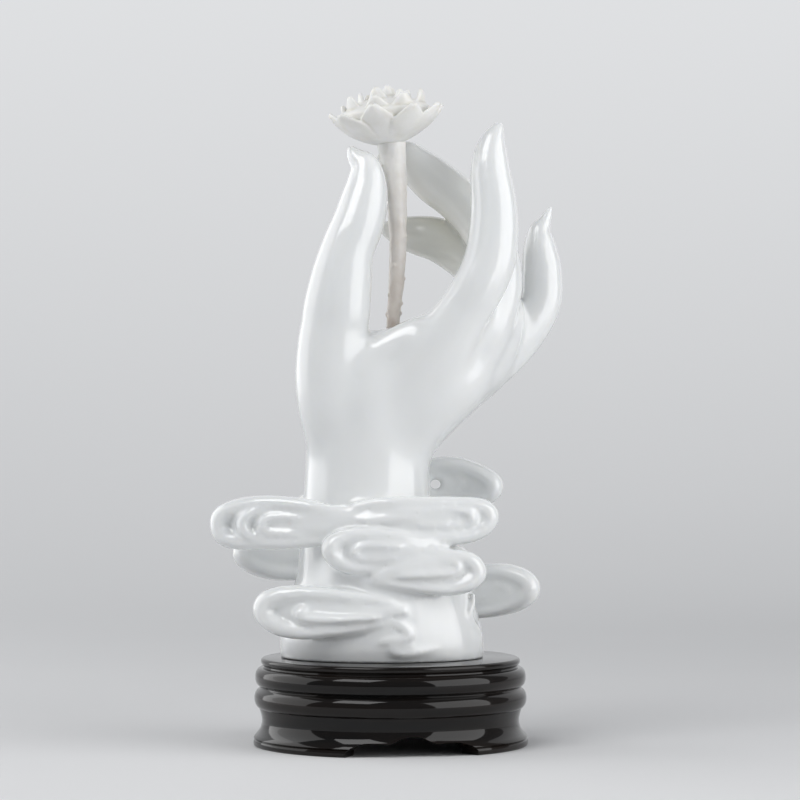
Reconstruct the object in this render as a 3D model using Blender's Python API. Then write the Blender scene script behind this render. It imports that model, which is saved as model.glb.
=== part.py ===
# Lotus hand sculpture: a porcelain hand rising from scrolled clouds, a lotus held in the web of the thumb,
# and the turned wooden stand below. The viewer's side is -Y, the palm faces -X and the back of the hand +X.
# Sizes below are millimetres. The porcelain and the lotus are made with heights from the porcelain's own
# underside, and are moved onto the stand at the end.
import math

import bmesh
import bpy
from mathutils import Matrix, Vector

MM = 0.001

# Wooden stand, turned round the Z axis
STAND_HEIGHT = 42.0
STAND_TOP_RADIUS = 62.5
STAND_BULGE_RADIUS = 65.2
STAND_WAIST_RADIUS = 62.0
STAND_FLARE_RADIUS = 66.4
STAND_BULGE_HEIGHT = 20.0
STAND_WAIST_HEIGHT = 11.0
STAND_LIP_HEIGHT = 3.0
STAND_SIDES = 60
FOOT_COUNT = 3
FOOT_RING_WALL = 12.0
FOOT_RECESS_DEPTH = 11.0
FOOT_GAP_DEGREES = 57.0
FOOT_GAP_MIDDLE_DEGREES = -80.0
FOOT_GAP_PEAK = 9.5
FOOT_GAP_SHOULDER = 6.6
FOOT_GAP_EDGE = 2.4
FOOT_GAP_SIDE_SHARE = 0.8
FOOT_GAP_DIP = 0.5
FOOT_GAP_CREST = 1.2
FOOT_GAP_OVERCUT = 5.0
# Top edge moulding, from the top face down: out from the top radius, down from the top
TOP_EDGE = ((-1.6, 0.0), (-0.5, 0.4), (0.0, 1.5), (-0.3, 3.0), (-1.2, 3.6), (-1.0, 4.4))
TOP_EDGE_HEIGHT = 4.6
# The two round mouldings below it
ROUND_SWELL = 2.4
ROUND_STEPS = 5
GROOVE_HEIGHT = 0.6
LOWER_ROUND_INSET = 0.4
LOWER_ROUND_DROP = 2.0
# Flared lip of the foot ring: out from the flare radius, up from the lip's height
LIP = ((-1.6, 2.6), (-0.4, 1.2), (-0.8, 0.4), (0.0, -0.2))
LIP_EDGE = 0.8
WAIST_UP = (0.4, 4.0)
WAIST_DOWN = (0.8, 2.6)
RECESS_DRAFT = 1.0
RECESS_CORNER = (3.0, 1.5)

# Porcelain
SEAT_GAP = 0.3
VENT_RADIUS = 12.0
VENT_TOP_RADIUS = 9.0
VENT_DEPTH = 95.0
VENT_OVERCUT = 0.3
VENT_SIDES = 32
LUMP_VOXEL = 1.4
LUMP_SMOOTHING_COUNT = 90
SKIN_VOXEL = 1.2
SKIN_SMOOTHING_COUNT = 3
PORCELAIN_TRIANGLE_COUNT = 11000
SECTION_SIDES = 28
BAND_SIDES = 16
# Stations of a digit that take part in the lump, and the one at which the digit itself starts
LUMP_STATION_COUNT = 5
ROOT_STATION = 2
# How much of its full section a digit has where it leaves the lump
ROOT_SHARES = (0.55, 0.86)
# The joins of the digits are evened between these heights, fading out at both ends
CALM_HEIGHTS = (88.0, 104.0, 160.0, 188.0)
CALM_SMOOTHING_COUNT = 25

# Digits, each a run of sections: x, y, height, half width across the view, half width along it
THUMB = (
    (-18.5, -4, 94.0, 16.5, 14.5),
    (-25.0, -8, 112.0, 18.0, 16.5),
    (-29.0, -11, 131.0, 17.5, 16.5),
    (-28.5, -12, 150.5, 17.0, 15.0),
    (-26.0, -13, 164.5, 16.5, 14.0),
    (-23.5, -13, 181.5, 15.0, 13.0),
    (-20.5, -12, 196.0, 13.0, 12.0),
    (-15.5, -10.5, 208.5, 12.5, 11.5),
    (-12.5, -8.5, 220.0, 11.5, 10.5),
    (-11.5, -7, 229.5, 9.5, 8.5),
    (-13.0, -6, 236.5, 7.5, 7.0),
    (-17.0, -5.5, 241.0, 4.5, 4.5),
    (-19.0, -5.3, 244.0, 2.5, 2.5),
    (-20.5, -5.2, 245.5, 1.0, 1.0),
)
INDEX = (
    (-7.5, -8, 102.5, 15.5, 13.5),
    (7.0, -12, 124.0, 16.5, 13.5),
    (20.0, -15, 143.0, 16.0, 13.5),
    (30.0, -17, 158.5, 14.0, 12.5),
    (40.0, -18, 174.0, 12.5, 12.0),
    (47.0, -17, 189.0, 12.5, 12.0),
    (49.5, -15, 204.5, 12.0, 11.5),
    (49.5, -13, 218.5, 11.0, 10.5),
    (48.0, -11, 231.0, 10.0, 9.5),
    (48.0, -10, 241.0, 8.5, 8.0),
    (49.5, -9, 249.0, 6.0, 6.0),
    (51.5, -8.5, 254.0, 3.5, 3.5),
    (53.0, -8.2, 257.0, 1.5, 1.5),
)
MIDDLE = (
    (7.0, 0, 109.5, 13.5, 13.0),
    (24.0, 0, 129.0, 13.5, 12.5),
    (38.5, -1, 145.5, 13.5, 12.0),
    (48.5, 1, 163.5, 12.5, 12.0),
    (52.5, 5, 179.5, 11.5, 11.5),
    (50.0, 9, 196.0, 11.5, 11.0),
    (43.0, 13, 210.5, 11.5, 11.0),
    (32.5, 15, 221.5, 11.0, 10.5),
    (21.0, 16, 230.5, 11.0, 10.0),
    (13.0, 16.5, 238.0, 9.5, 9.0),
    (8.5, 17.5, 244.5, 6.5, 6.5),
    (6.0, 18.5, 248.0, 3.5, 3.5),
    (5.0, 19.0, 250.0, 1.0, 1.0),
)
RING = (
    (12.0, 12, 112.0, 12.5, 12.5),
    (31.5, 12, 129.0, 13.0, 12.0),
    (46.0, 13, 142.5, 12.5, 11.5),
    (54.5, 15, 158.0, 11.5, 11.0),
    (52.5, 21, 171.5, 11.5, 11.0),
    (45.0, 27, 185.0, 11.0, 10.5),
    (35.0, 29, 195.0, 11.0, 10.5),
    (24.0, 26, 202.0, 11.0, 10.0),
    (12.0, 21.5, 204.5, 9.5, 9.0),
    (3.5, 18.5, 206.0, 7.0, 7.0),
    (-2.0, 16.5, 207.5, 4.0, 4.0),
    (-5.5, 15.5, 209.5, 1.5, 1.5),
)
LITTLE = (
    (4.5, 18, 104.5, 11.5, 12.5),
    (19.5, 20, 115.0, 11.5, 12.0),
    (32.0, 21, 125.5, 11.5, 11.5),
    (45.0, 24, 136.0, 12.0, 11.5),
    (57.0, 27, 148.5, 12.0, 11.0),
    (68.0, 30, 161.0, 11.0, 10.5),
    (74.0, 32, 173.0, 10.5, 10.0),
    (74.5, 33, 187.0, 10.0, 9.5),
    (73.5, 33.5, 198.0, 8.5, 8.5),
    (73.5, 34, 206.5, 6.0, 6.0),
    (76.0, 34.5, 212.0, 3.5, 3.5),
    (78.0, 35, 216.5, 2.0, 2.0),
    (79.0, 35, 219.0, 1.0, 1.0),
)
# Palm, the web between thumb and index finger, and the ball of the thumb
PALM = (
    (-11.5, 2, 62.0, 32.0, 30.0),
    (-11.5, 2, 85.0, 30.5, 27.5),
    (-11.0, 2, 102.5, 30.0, 27.0),
    (-6.0, 3, 115.5, 30.0, 28.0),
    (3.5, 5, 128.0, 28.0, 29.0),
    (16.5, 7, 141.0, 23.0, 29.0),
    (31.5, 8, 150.5, 14.5, 25.0),
)
WEB = (
    (-22.0, -8, 128.0, 14.5, 11.5),
    (-9.0, -2, 142.5, 14.5, 11.5),
    (1.5, 0, 146.5, 13.0, 11.5),
    (14.0, -4, 150.5, 12.0, 11.5),
    (26.0, -10, 160.0, 10.5, 10.5),
)
THENAR = (
    (-15.5, -8, 98.0, 14.0, 16.5),
    (-12.0, -10, 112.0, 16.0, 17.5),
    (-8.0, -10.5, 126.0, 15.0, 17.0),
    (-3.0, -9, 139.0, 12.5, 14.5),
)
# Roots of the fingers, from the index across to the little finger, and the heel of the hand
KNUCKLES = (
    (26.0, -12, 144.0, 13.0, 13.0),
    (38.0, 2, 144.5, 14.0, 13.0),
    (48.0, 14, 143.5, 14.0, 13.0),
    (57.0, 26, 146.0, 11.5, 11.0),
)
HEEL = (
    (-19.0, 14, 92.5, 12.5, 11.5),
    (-9.0, 19, 110.5, 14.5, 12.5),
    (4.5, 23, 125.0, 14.5, 12.5),
    (24.0, 25, 137.5, 13.0, 12.0),
    (46.5, 26, 148.5, 10.0, 10.0),
)
# Soft fold between the thumb and the index finger
FOLD = (
    (-23.0, -14, 130.0, 6.5, 8.0),
    (-14.0, -15.5, 138.5, 7.5, 8.5),
    (-4.0, -14.5, 147.5, 7.5, 8.5),
    (6.0, -13.5, 154.5, 7.0, 8.0),
    (16.0, -14.5, 160.0, 6.0, 7.5),
)
# Smooth back of the hand
BACK = (
    (-2.0, 5, 98.0, 20.0, 25.0),
    (10.5, 7, 112.5, 17.5, 29.0),
    (18.0, 8, 120.5, 17.5, 31.0),
    (26.0, 9, 128.0, 17.5, 31.0),
    (33.5, 10, 135.0, 17.0, 29.0),
    (41.0, 11, 142.5, 14.5, 24.0),
)
# Foot of the porcelain, from below its underside up into the wrist; it is cut flat at height 0
SLEEVE = (
    (-4.5, 0, -8.0, 46.5, 38.0),
    (-4.5, 0, 3.0, 49.0, 40.5),
    (-4.0, 0, 9.0, 49.0, 41.0),
    (-4.5, 0, 27.5, 44.0, 39.5),
    (-5.5, 0, 42.0, 41.0, 37.5),
    (-8.5, 1, 56.5, 36.5, 34.0),
    (-11.0, 2, 73.5, 31.0, 30.0),
    (-11.5, 2, 95.0, 30.0, 27.0),
)

# Lotus. Its foot stands in a socket that is SOCKET_DEPTH deep in the crown of the web.
SOCKET_DEPTH = 5.0
SOCKET_CLEARANCE = 0.3
WEB_CROWN = WEB[2][2] + WEB[2][3]
STEM_X = 0.4
STEM_Y = 2.0
STEM_LENGTH = 93.5
STEM_RADII = (2.9, 3.3, 3.8, 4.1, 4.3, 4.6, 5.3, 6.2, 7.0)
STEM_BOW = 3.2
STEM_SIDES = 20
# Nodules on the stem: share of its length, heading in degrees, radius
NODULES = (
    (0.11, 180, 1.2), (0.12, 10, 1.2), (0.17, 350, 1.2), (0.21, 200, 1.0), (0.3, 20, 1.3),
    (0.36, 250, 1.1), (0.44, 100, 1.2), (0.52, 330, 1.0), (0.62, 150, 1.2), (0.7, 40, 1.0),
    (0.9, 200, 1.9), (0.93, 170, 1.5),
)
NODULE_SINK = 0.07
BLOOM_TILT_DEGREES = 6.0
BLOOM_SHIFT = 1.0
# Rows of petals from the outside in: count, first heading in degrees, then root, belly and tip as (radius,
# height) from the top of the stem, and half width
PETAL_ROWS = (
    (9, 8, (4.0, 0.0), (18.0, 2.2), (27.0, 18.5), 11.0),
    (8, 30, (3.0, 1.0), (15.5, 5.0), (19.5, 23.0), 9.5),
    (7, 10, (2.5, 3.0), (11.0, 8.0), (12.5, 26.5), 7.0),
    (5, 40, (2.0, 5.0), (7.0, 12.0), (6.0, 27.5), 4.8),
)
PETAL_THICKNESS = 1.9
PETAL_WIDEST = 0.68
PETAL_ROOT_SHARE = 0.35
PETAL_POINT_POWER = 1.7
PETAL_TIP_SHARE = 0.03
PETAL_WRAP_SHARE = 0.9
PETAL_KEEL = 0.9
PETAL_LIFT_SHARE = 0.05
# Uneven hand work: how far and how fast the tips and the headings wander from petal to petal
PETAL_SWAY = 1.3
PETAL_SWAY_STEP = 2.4
PETAL_TURN_DEGREES = 4.0
PETAL_TURN_STEP = 1.7
PETAL_STEPS = (12, 8)
# Closed heart of the flower, which the petals grow out of: radius and height from the top of the stem
HEART_LINE = (
    (0.0, 0.0), (6.0, 0.4), (11.0, 2.6), (16.0, 6.6), (18.0, 10.5), (16.5, 13.0), (11.0, 13.6),
    (7.0, 15.5), (3.0, 16.2), (0.0, 16.0),
)
HEART_SIDES = 32
LOTUS_VOXEL = 0.7
LOTUS_SMOOTHING_COUNT = 3
LOTUS_TRIANGLE_COUNT = 4800

# Cloud scrolls. Each has the side of the wrist that it lies on (-1 front, 1 back), how far out its middle
# lies, its outer bands, its inner ridges and its web. The points of a band or a ridge are x, height and half
# width; those of a web are x, height and half height.
WRAP_CURVE = 0.0038
WRAP_MIDDLE_X = -8.0
BAND_DEPTH_SHARE = 1.5
RIDGE_DEPTH_SHARE = 2.4
BAND_SINK = 5.5
RIDGE_SINK = 4.5
RIDGE_END_SINK = 3.0
WEB_HALF_DEPTH = 3.0
WEB_SINK = 2.2
UPPER_LEFT = dict(
    face=-1,
    reach=33,
    bands=(
        (
            (-2.5, 70.5, 1.5), (-14.5, 72.5, 2.25), (-28.5, 74, 3), (-42.5, 74.5, 3.5),
            (-60.5, 75, 3.5), (-72, 73, 4), (-80, 69, 4.75), (-82, 64, 4.75), (-79.5, 58.5, 4.75),
            (-72, 56, 4), (-60.5, 56, 3.5), (-47.5, 56, 3.25), (-33, 57, 2.75), (-21.5, 58.5, 2),
        ),
    ),
    ridges=(
        (
            (-49.5, 72, 2), (-60.5, 71.5, 2.25), (-67.5, 69, 3.25), (-70.5, 64.5, 3.75),
            (-67.5, 59.5, 3.25), (-60.5, 58, 2.25), (-49.5, 58, 2),
        ),
        (
            (-28.5, 66.5, 1), (-40, 68, 1.75), (-52, 68.5, 2), (-59, 67, 2.5), (-61, 64, 2.75),
            (-58.5, 61, 2.25), (-51, 60.5, 2), (-42.5, 60, 1.75), (-31, 58.5, 1),
        ),
    ),
    web=(
        (-79, 64.5, 6), (-70, 65, 8), (-60, 65.5, 9), (-45, 65.5, 9), (-30, 66, 8.5), (-10, 67, 6),
    ),
)
UPPER_RIGHT = dict(
    face=-1,
    reach=34,
    bands=(
        (
            (-18, 73, 2), (-7, 75, 2.5), (4.5, 75.5, 2.75), (19, 75.5, 2.75), (33, 75, 3),
            (43.5, 73, 4), (47.5, 68.5, 4.5), (44.5, 63, 4.25), (36.5, 59.5, 4), (27, 58.5, 3.75),
            (16.5, 59, 3.25), (4.5, 61.5, 2.25), (-5, 64, 1.5),
        ),
    ),
    ridges=(
        (
            (-12, 70.5, 1.25), (4.5, 71, 1.75), (19, 71.5, 1.75), (30.5, 71.5, 2), (37.5, 70, 2.75),
            (39, 67, 3), (34.5, 64.5, 2.25), (23.5, 64.5, 2), (11.5, 65, 1.75), (2, 66.5, 1),
        ),
        (
            (-24, 67.5, 1), (-12, 67, 1.5), (2, 67.8, 1.75), (14, 68.2, 1.5), (26, 67.8, 1),
        ),
    ),
    web=(
        (-12, 69, 4), (5, 68.5, 8), (20, 68, 9), (35, 67.5, 8.5), (45, 68, 5.5),
    ),
)
MIDDLE_LEFT = dict(
    face=-1,
    reach=39,
    bands=(
        (
            (30.5, 55.5, 1), (19, 57, 2), (4.5, 59.5, 2.5), (-9.5, 60.5, 3), (-21.5, 59, 3.75),
            (-28, 54.5, 4.75), (-25.5, 48.5, 4.25), (-18, 45, 3.75), (-7, 44.5, 2.75),
            (4.5, 45.5, 2.25), (16.5, 47, 1.5),
        ),
    ),
    ridges=(
        (
            (19, 53.5, 1), (4.5, 54.5, 1.75), (-7, 55.5, 2), (-14.5, 54.5, 2.25), (-17, 51.5, 2.5),
            (-13.5, 49, 2), (-5, 49, 1.75), (7, 49.5, 1.5), (19, 50, 1),
        ),
    ),
    web=(
        (-25, 53, 5.5), (-17, 52, 8), (-5, 52, 8.5), (8, 52, 7.5), (22, 52, 4),
    ),
)
MIDDLE_RIGHT = dict(
    face=-1,
    reach=41,
    bands=(
        (
            (4.5, 53.5, 1.5), (16.5, 52.5, 2), (28, 50.5, 3), (37.5, 48, 4), (41.5, 42, 4.5),
            (36.5, 37, 4.25), (27, 34.5, 3.5), (16.5, 35, 3), (4.5, 36.5, 2.5), (-7, 38, 2),
            (-14.5, 39.5, 1),
        ),
    ),
    ridges=(
        (
            (-5, 40, 1.25), (7, 41, 1.75), (19, 41.5, 2), (27.5, 42, 2.25), (32.5, 44, 2.25),
            (30, 47.5, 2), (23.5, 48.5, 1.5), (14, 49, 1),
        ),
    ),
    web=(
        (-8, 40, 2.5), (5, 43, 6), (18, 44, 8), (30, 43, 8.5), (39, 42, 5.5),
    ),
)
LOWER_LEFT = dict(
    face=-1,
    reach=41,
    bands=(
        (
            (7, 26.5, 1.5), (-5, 29, 2.25), (-21.5, 31, 3), (-35.5, 32.5, 3.5), (-49.5, 32, 4.25),
            (-58.5, 28.5, 5), (-60, 23, 5), (-54, 17.5, 4.75), (-42.5, 14.5, 4), (-28.5, 15, 3.5),
            (-14.5, 16.5, 3), (0, 19, 2.25), (11.5, 21.5, 1.5),
        ),
    ),
    ridges=(
        (
            (-28.5, 27.5, 1.25), (-37, 27.5, 2), (-41, 25.5, 2.75), (-41.5, 23, 2.75),
            (-37, 21.5, 2.75), (-26, 21, 2.5), (-12, 21.5, 2), (4.5, 23, 1.5),
        ),
        (
            (-42.5, 28.5, 2), (-49, 27.5, 2.75), (-51, 23.5, 3.25), (-47.5, 20, 2.75), (-39.5, 18, 2),
        ),
    ),
    web=(
        (-58, 24, 6), (-48, 24, 8.5), (-35, 23.5, 8), (-20, 23.5, 6), (-5, 24, 4), (6, 24, 3),
    ),
)
BACK_RIGHT_LOW = dict(
    face=1,
    reach=37,
    bands=(
        (
            (8, 41, 1), (29.5, 39.5, 2.5), (41.5, 39.5, 3.25), (54, 40, 4.25), (64, 37, 5),
            (68, 32, 5.25), (64, 26.5, 5), (54, 22.5, 4.5), (44, 20.5, 4), (34, 19, 3.25),
            (14, 18, 1.5),
        ),
    ),
    ridges=(
        (
            (32, 33, 1.5), (42, 33.5, 2), (52, 33.5, 2.5), (58, 31, 3), (54, 28, 2.5), (46, 27, 2.5),
            (34, 26.5, 1.5),
        ),
    ),
    web=(
        (25, 29, 6), (36, 29, 8), (48, 30, 10), (60, 31, 9), (68, 32, 5),
    ),
)
BACK_RIGHT_HIGH = dict(
    face=1,
    reach=33,
    bands=(
        (
            (-16, 86, 1), (4.5, 89, 2.25), (17, 90.5, 3.75), (29.5, 92, 4.5), (41.5, 88.5, 4.75),
            (50, 82.5, 5.25), (47.5, 77, 4.5), (39, 75, 4), (27, 74.5, 3.5), (14.5, 74.5, 2.5),
            (-2, 75, 1.5),
        ),
    ),
    ridges=(
        (
            (10, 84, 1), (22.5, 87, 1.5), (29, 87.5, 2.25), (34.5, 85.5, 3), (35.5, 82.5, 3),
            (30.5, 80, 2.5), (23.5, 77.5, 1.75), (10, 78, 1),
        ),
    ),
    web=(
        (0, 82, 5), (10, 82, 7), (25, 83, 9), (38, 83, 9.5), (48, 82, 6),
    ),
)
BACK_LEFT_MIDDLE = dict(
    face=1,
    reach=35,
    bands=(
        (
            (-16, 56, 1), (-40, 56.5, 2.75), (-54.5, 58, 3.75), (-67, 55.5, 4.5), (-72.5, 49.5, 5),
            (-68, 43.5, 4.75), (-57, 39.5, 4.25), (-44.5, 38.5, 3.5), (-35, 39, 2.5), (-14, 39, 1.5),
        ),
    ),
    ridges=(
        (
            (-26, 49, 1), (-44.5, 49.5, 1.5), (-55.5, 50.5, 2.25), (-61, 48.5, 2.75),
            (-56.5, 45.5, 2.25), (-44.5, 45, 1.5), (-26, 44, 1),
        ),
    ),
    web=(
        (-26, 48, 5), (-40, 48, 8), (-55, 48.5, 9.5), (-68, 50, 6),
    ),
)
# Scrolls of the front that come again on the back: how far along and up they move, and their reach
BACK_COPIES = (
    (UPPER_RIGHT, 4, 2, 34),
    (MIDDLE_RIGHT, -6, 14, 38),
    (LOWER_LEFT, -22, -4, 42),
)
# Bands that run round the sides of the wrist: height, half width, first and last heading in degrees
SIDE_BANDS = (
    (64, 4.0, 128, 232), (24, 4.5, 122, 236), (66, 3.8, -52, 50), (48, 4.0, -58, 56),
    (30, 3.8, -50, 52),
)
SIDE_WAVE = 3.0
SIDE_MIDDLE_X = -6.0
SIDE_RADII = (41.0, 35.0)
SIDE_RADII_HEIGHT = 40.0
SIDE_FLARE = 0.12
SIDE_STATION_COUNT = 9
SIDE_END_SHARE = 0.45
# Raised lines on the front of the foot: x, height, half width
FOOT_LINES = (
    (
        (39.5, 32, 1.25), (39.5, 25.5, 1.5), (38, 22, 1.5), (40, 16, 1.75), (42.5, 10.5, 2),
        (40.5, 5, 2.25),
    ),
    (
        (2.7, 19.5, 1.0), (8.2, 15.8, 1.5), (9.2, 12.4, 1.6), (5.5, 10.1, 1.6), (0.8, 9.8, 1.5),
        (-4.8, 10.5, 1.3), (-7.0, 8.2, 1.0),
    ),
    (
        (12.6, 8.1, 0.9), (8.4, 7.2, 1.1), (3.7, 7.0, 1.3), (0.6, 5.9, 1.4), (3.2, 4.1, 1.5),
        (9.3, 3.6, 1.5), (16.4, 4.6, 1.3), (23.5, 5.2, 0.9),
    ),
)
# Oval that the raised lines follow: middle x, half width, half depth
FOOT_OVAL = (-4.5, 47.5, 40.5)
FOOT_OVAL_END = 0.98
# Through holes near the eyes of the upper clouds: face, x, height, half length, half height
HOLES = (
    (-1, -48.5, 64.6, 2.6, 1.5),
    (1, 22.0, 82.3, 2.9, 2.6),
)
HOLE_NEAR = 10.0
HOLE_FAR = 50.0
HOLE_SIDES = 16


def clear_scene():
    for thing in list(bpy.data.objects):
        bpy.data.objects.remove(thing, do_unlink=True)


def finish(name, colour, roughness):
    material = bpy.data.materials.new(name)
    material.use_nodes = True
    shader = material.node_tree.nodes["Principled BSDF"]
    shader.inputs["Base Color"].default_value = (*colour, 1.0)
    shader.inputs["Roughness"].default_value = roughness
    return material


def new_object(name, bm, material=None):
    mesh = bpy.data.meshes.new(name)
    bm.to_mesh(mesh)
    bm.free()
    thing = bpy.data.objects.new(name, mesh)
    bpy.context.scene.collection.objects.link(thing)
    if material is not None:
        mesh.materials.append(material)
    return thing


def apply_modifiers(thing):
    """Replaces an object's mesh by what its modifiers make of it."""
    bpy.context.view_layer.update()
    graph = bpy.context.evaluated_depsgraph_get()
    mesh = bpy.data.meshes.new_from_object(thing.evaluated_get(graph))
    thing.modifiers.clear()
    thing.data = mesh


def curve_value(a, b, c, d, t):
    """Cardinal curve from b to c, which a and d come before and after."""
    straight = (c - a) * t
    bend = (2 * a - 5 * b + 4 * c - d) * t ** 2
    return (2 * b + straight + bend + (3 * b - a - 3 * c + d) * t ** 3) / 2


def smooth_run(stations, steps):
    """Cardinal curve through stations, each a tuple of numbers."""
    points = [stations[0], *stations, stations[-1]]
    run = []
    for i in range(1, len(points) - 2):
        near = list(zip(*points[i - 1 : i + 3]))
        for s in range(steps):
            run.append(tuple(curve_value(*four, s / steps) for four in near))
    run.append(tuple(stations[-1]))
    return run


def sweep(bm, stations, steps=4, sides=SECTION_SIDES, flat=(0, 1, 0)):
    """Skins oval sections along a run of (x, y, z, half width, half depth) and closes both ends.

    The half depth of a section lies along the direction flat.
    """
    flat = Vector(flat)
    run = smooth_run(stations, steps)
    rings = []
    for i, (x, y, z, half_width, half_depth) in enumerate(run):
        before = Vector(run[max(i - 1, 0)][:3])
        after = Vector(run[min(i + 1, len(run) - 1)][:3])
        along = (after - before).normalized()
        depth = (flat - along * along.dot(flat)).normalized()
        across = depth.cross(along)
        ring = []
        for k in range(sides):
            turn = 2 * math.pi * k / sides
            offset = across * (half_width * math.cos(turn)) + depth * (half_depth * math.sin(turn))
            ring.append(bm.verts.new((Vector((x, y, z)) + offset) * MM))
        rings.append(ring)
    for low, high in zip(rings, rings[1:]):
        for k in range(sides):
            bm.faces.new((low[k], low[(k + 1) % sides], high[(k + 1) % sides], high[k]))
    bm.faces.new(tuple(reversed(rings[0])))
    bm.faces.new(tuple(rings[-1]))


def revolve(bm, line, sides):
    """Turns a line of (radius, height), which starts and ends on the axis, round Z."""
    rings = []
    for radius, z in line:
        if radius == 0.0:
            rings.append([bm.verts.new((0, 0, z * MM))])
            continue
        ring = []
        for k in range(sides):
            a = 2 * math.pi * k / sides
            ring.append(bm.verts.new(Vector((radius * math.cos(a), radius * math.sin(a), z)) * MM))
        rings.append(ring)
    for high, low in zip(rings, rings[1:]):
        for k in range(sides):
            n = (k + 1) % sides
            if len(high) == 1:
                bm.faces.new((high[0], low[k], low[n]))
            elif len(low) == 1:
                bm.faces.new((high[k], low[0], high[n]))
            else:
                bm.faces.new((high[k], low[k], low[n], high[n]))


def fuse(thing, voxel, smoothing_count):
    """Fuses overlapping closed shapes into one skin and evens it."""
    remesh = thing.modifiers.new("fuse", "REMESH")
    remesh.mode = "VOXEL"
    remesh.voxel_size = voxel * MM
    even = thing.modifiers.new("even", "SMOOTH")
    even.factor = 0.5
    even.iterations = round(smoothing_count)
    apply_modifiers(thing)


def thin_out(thing, triangle_count):
    """Brings a fine skin down to a number of triangles."""
    have = sum(len(p.vertices) - 2 for p in thing.data.polygons)
    if have > triangle_count:
        fewer = thing.modifiers.new("fewer", "DECIMATE")
        fewer.ratio = triangle_count / have
        fewer.use_collapse_triangulate = True
        apply_modifiers(thing)


def cut(thing, cutter):
    """Subtracts a closed cutter for good and removes it."""
    step = thing.modifiers.new("cut", "BOOLEAN")
    step.operation = "DIFFERENCE"
    step.solver = "EXACT"
    step.object = cutter
    apply_modifiers(thing)
    bpy.data.objects.remove(cutter, do_unlink=True)


def tapered(stations):
    """The run with its first sections narrowed, so that it leaves the lump without a step."""
    start = tuple(
        (x, y, z, half_width * share, half_depth * share)
        for (x, y, z, half_width, half_depth), share in zip(stations, ROOT_SHARES)
    )
    return start + tuple(stations[len(start):])


def calm_joins(hand):
    """Evens the hand where its digits leave the palm; the clouds and the fingertips keep their shape."""
    low, full, still, top = CALM_HEIGHTS
    group = hand.vertex_groups.new(name="joins")
    for vert in hand.data.vertices:
        height = vert.co.z / MM
        weight = min((height - low) / (full - low), (top - height) / (top - still), 1.0)
        if weight > 0:
            group.add((vert.index,), weight, "REPLACE")
    even = hand.modifiers.new("joins", "SMOOTH")
    even.factor = 0.5
    even.iterations = round(CALM_SMOOTHING_COUNT)
    even.vertex_group = group.name
    apply_modifiers(hand)
    hand.vertex_groups.clear()


def wrap_depth(x, face, reach):
    """Depth of a cloud's middle, which bends round the wrist."""
    return face * (reach - WRAP_CURVE * (x - WRAP_MIDDLE_X) ** 2)


def band_stations(cloud, band):
    """An outer band of a scroll: its thin ends sink into the wrist."""
    widest = max(half for x, height, half in band)
    stations = []
    for x, height, half in band:
        sunk = BAND_SINK * (1 - half / widest)
        y = wrap_depth(x, cloud["face"], cloud["reach"] - sunk)
        stations.append((x, y, height, half, half * BAND_DEPTH_SHARE))
    return stations


def ridge_stations(cloud, ridge):
    """An inner ridge of a scroll: its ends run out in the web."""
    widest = max(half for x, height, half in ridge)
    stations = []
    for i, (x, height, half) in enumerate(ridge):
        sunk = RIDGE_SINK * (1 - half / widest) ** 2
        if i in (0, len(ridge) - 1):
            sunk += RIDGE_END_SINK
        y = wrap_depth(x, cloud["face"], cloud["reach"] - sunk)
        stations.append((x, y, height, half, half * RIDGE_DEPTH_SHARE))
    return stations


def web_stations(cloud):
    """Thin body of a scroll, which closes the valleys between its bands."""
    widest = max(half for x, height, half in cloud["web"])
    stations = []
    for x, height, half in cloud["web"]:
        sunk = WEB_SINK + BAND_SINK * (1 - half / widest)
        y = wrap_depth(x, cloud["face"], cloud["reach"] - sunk)
        stations.append((x, y, height, half, WEB_HALF_DEPTH))
    return stations


def back_copy(cloud, shift, rise, reach):
    """The same scroll turned to the back of the wrist, moved along it by shift and up by rise."""
    def turned(points):
        return tuple((shift - x, height + rise, half) for x, height, half in points)

    return dict(
        face=1,
        reach=reach,
        bands=tuple(turned(band) for band in cloud["bands"]),
        ridges=tuple(turned(ridge) for ridge in cloud["ridges"]),
        web=turned(cloud["web"]),
    )


def side_stations(height, half, first, last):
    """A band round one side of the wrist, with a slow wave in its height."""
    flare = (SIDE_RADII_HEIGHT - height) * SIDE_FLARE
    stations = []
    for i in range(SIDE_STATION_COUNT):
        share = i / (SIDE_STATION_COUNT - 1)
        heading = math.radians(first + (last - first) * share)
        x = SIDE_MIDDLE_X + (SIDE_RADII[0] + flare) * math.cos(heading)
        y = (SIDE_RADII[1] + flare) * math.sin(heading)
        z = height + SIDE_WAVE * math.sin(2 * math.pi * share)
        radius = half * (SIDE_END_SHARE + (1 - SIDE_END_SHARE) * math.sin(math.pi * share))
        stations.append((x, y, z, radius, radius))
    return stations


def foot_line_stations(line):
    """A raised line on the front of the foot."""
    middle, half_x, half_y = FOOT_OVAL
    stations = []
    for x, height, half in line:
        away = min(abs(x - middle) / half_x, FOOT_OVAL_END)
        stations.append((x, -half_y * math.sqrt(1 - away * away), height, half, half))
    return stations


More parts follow.
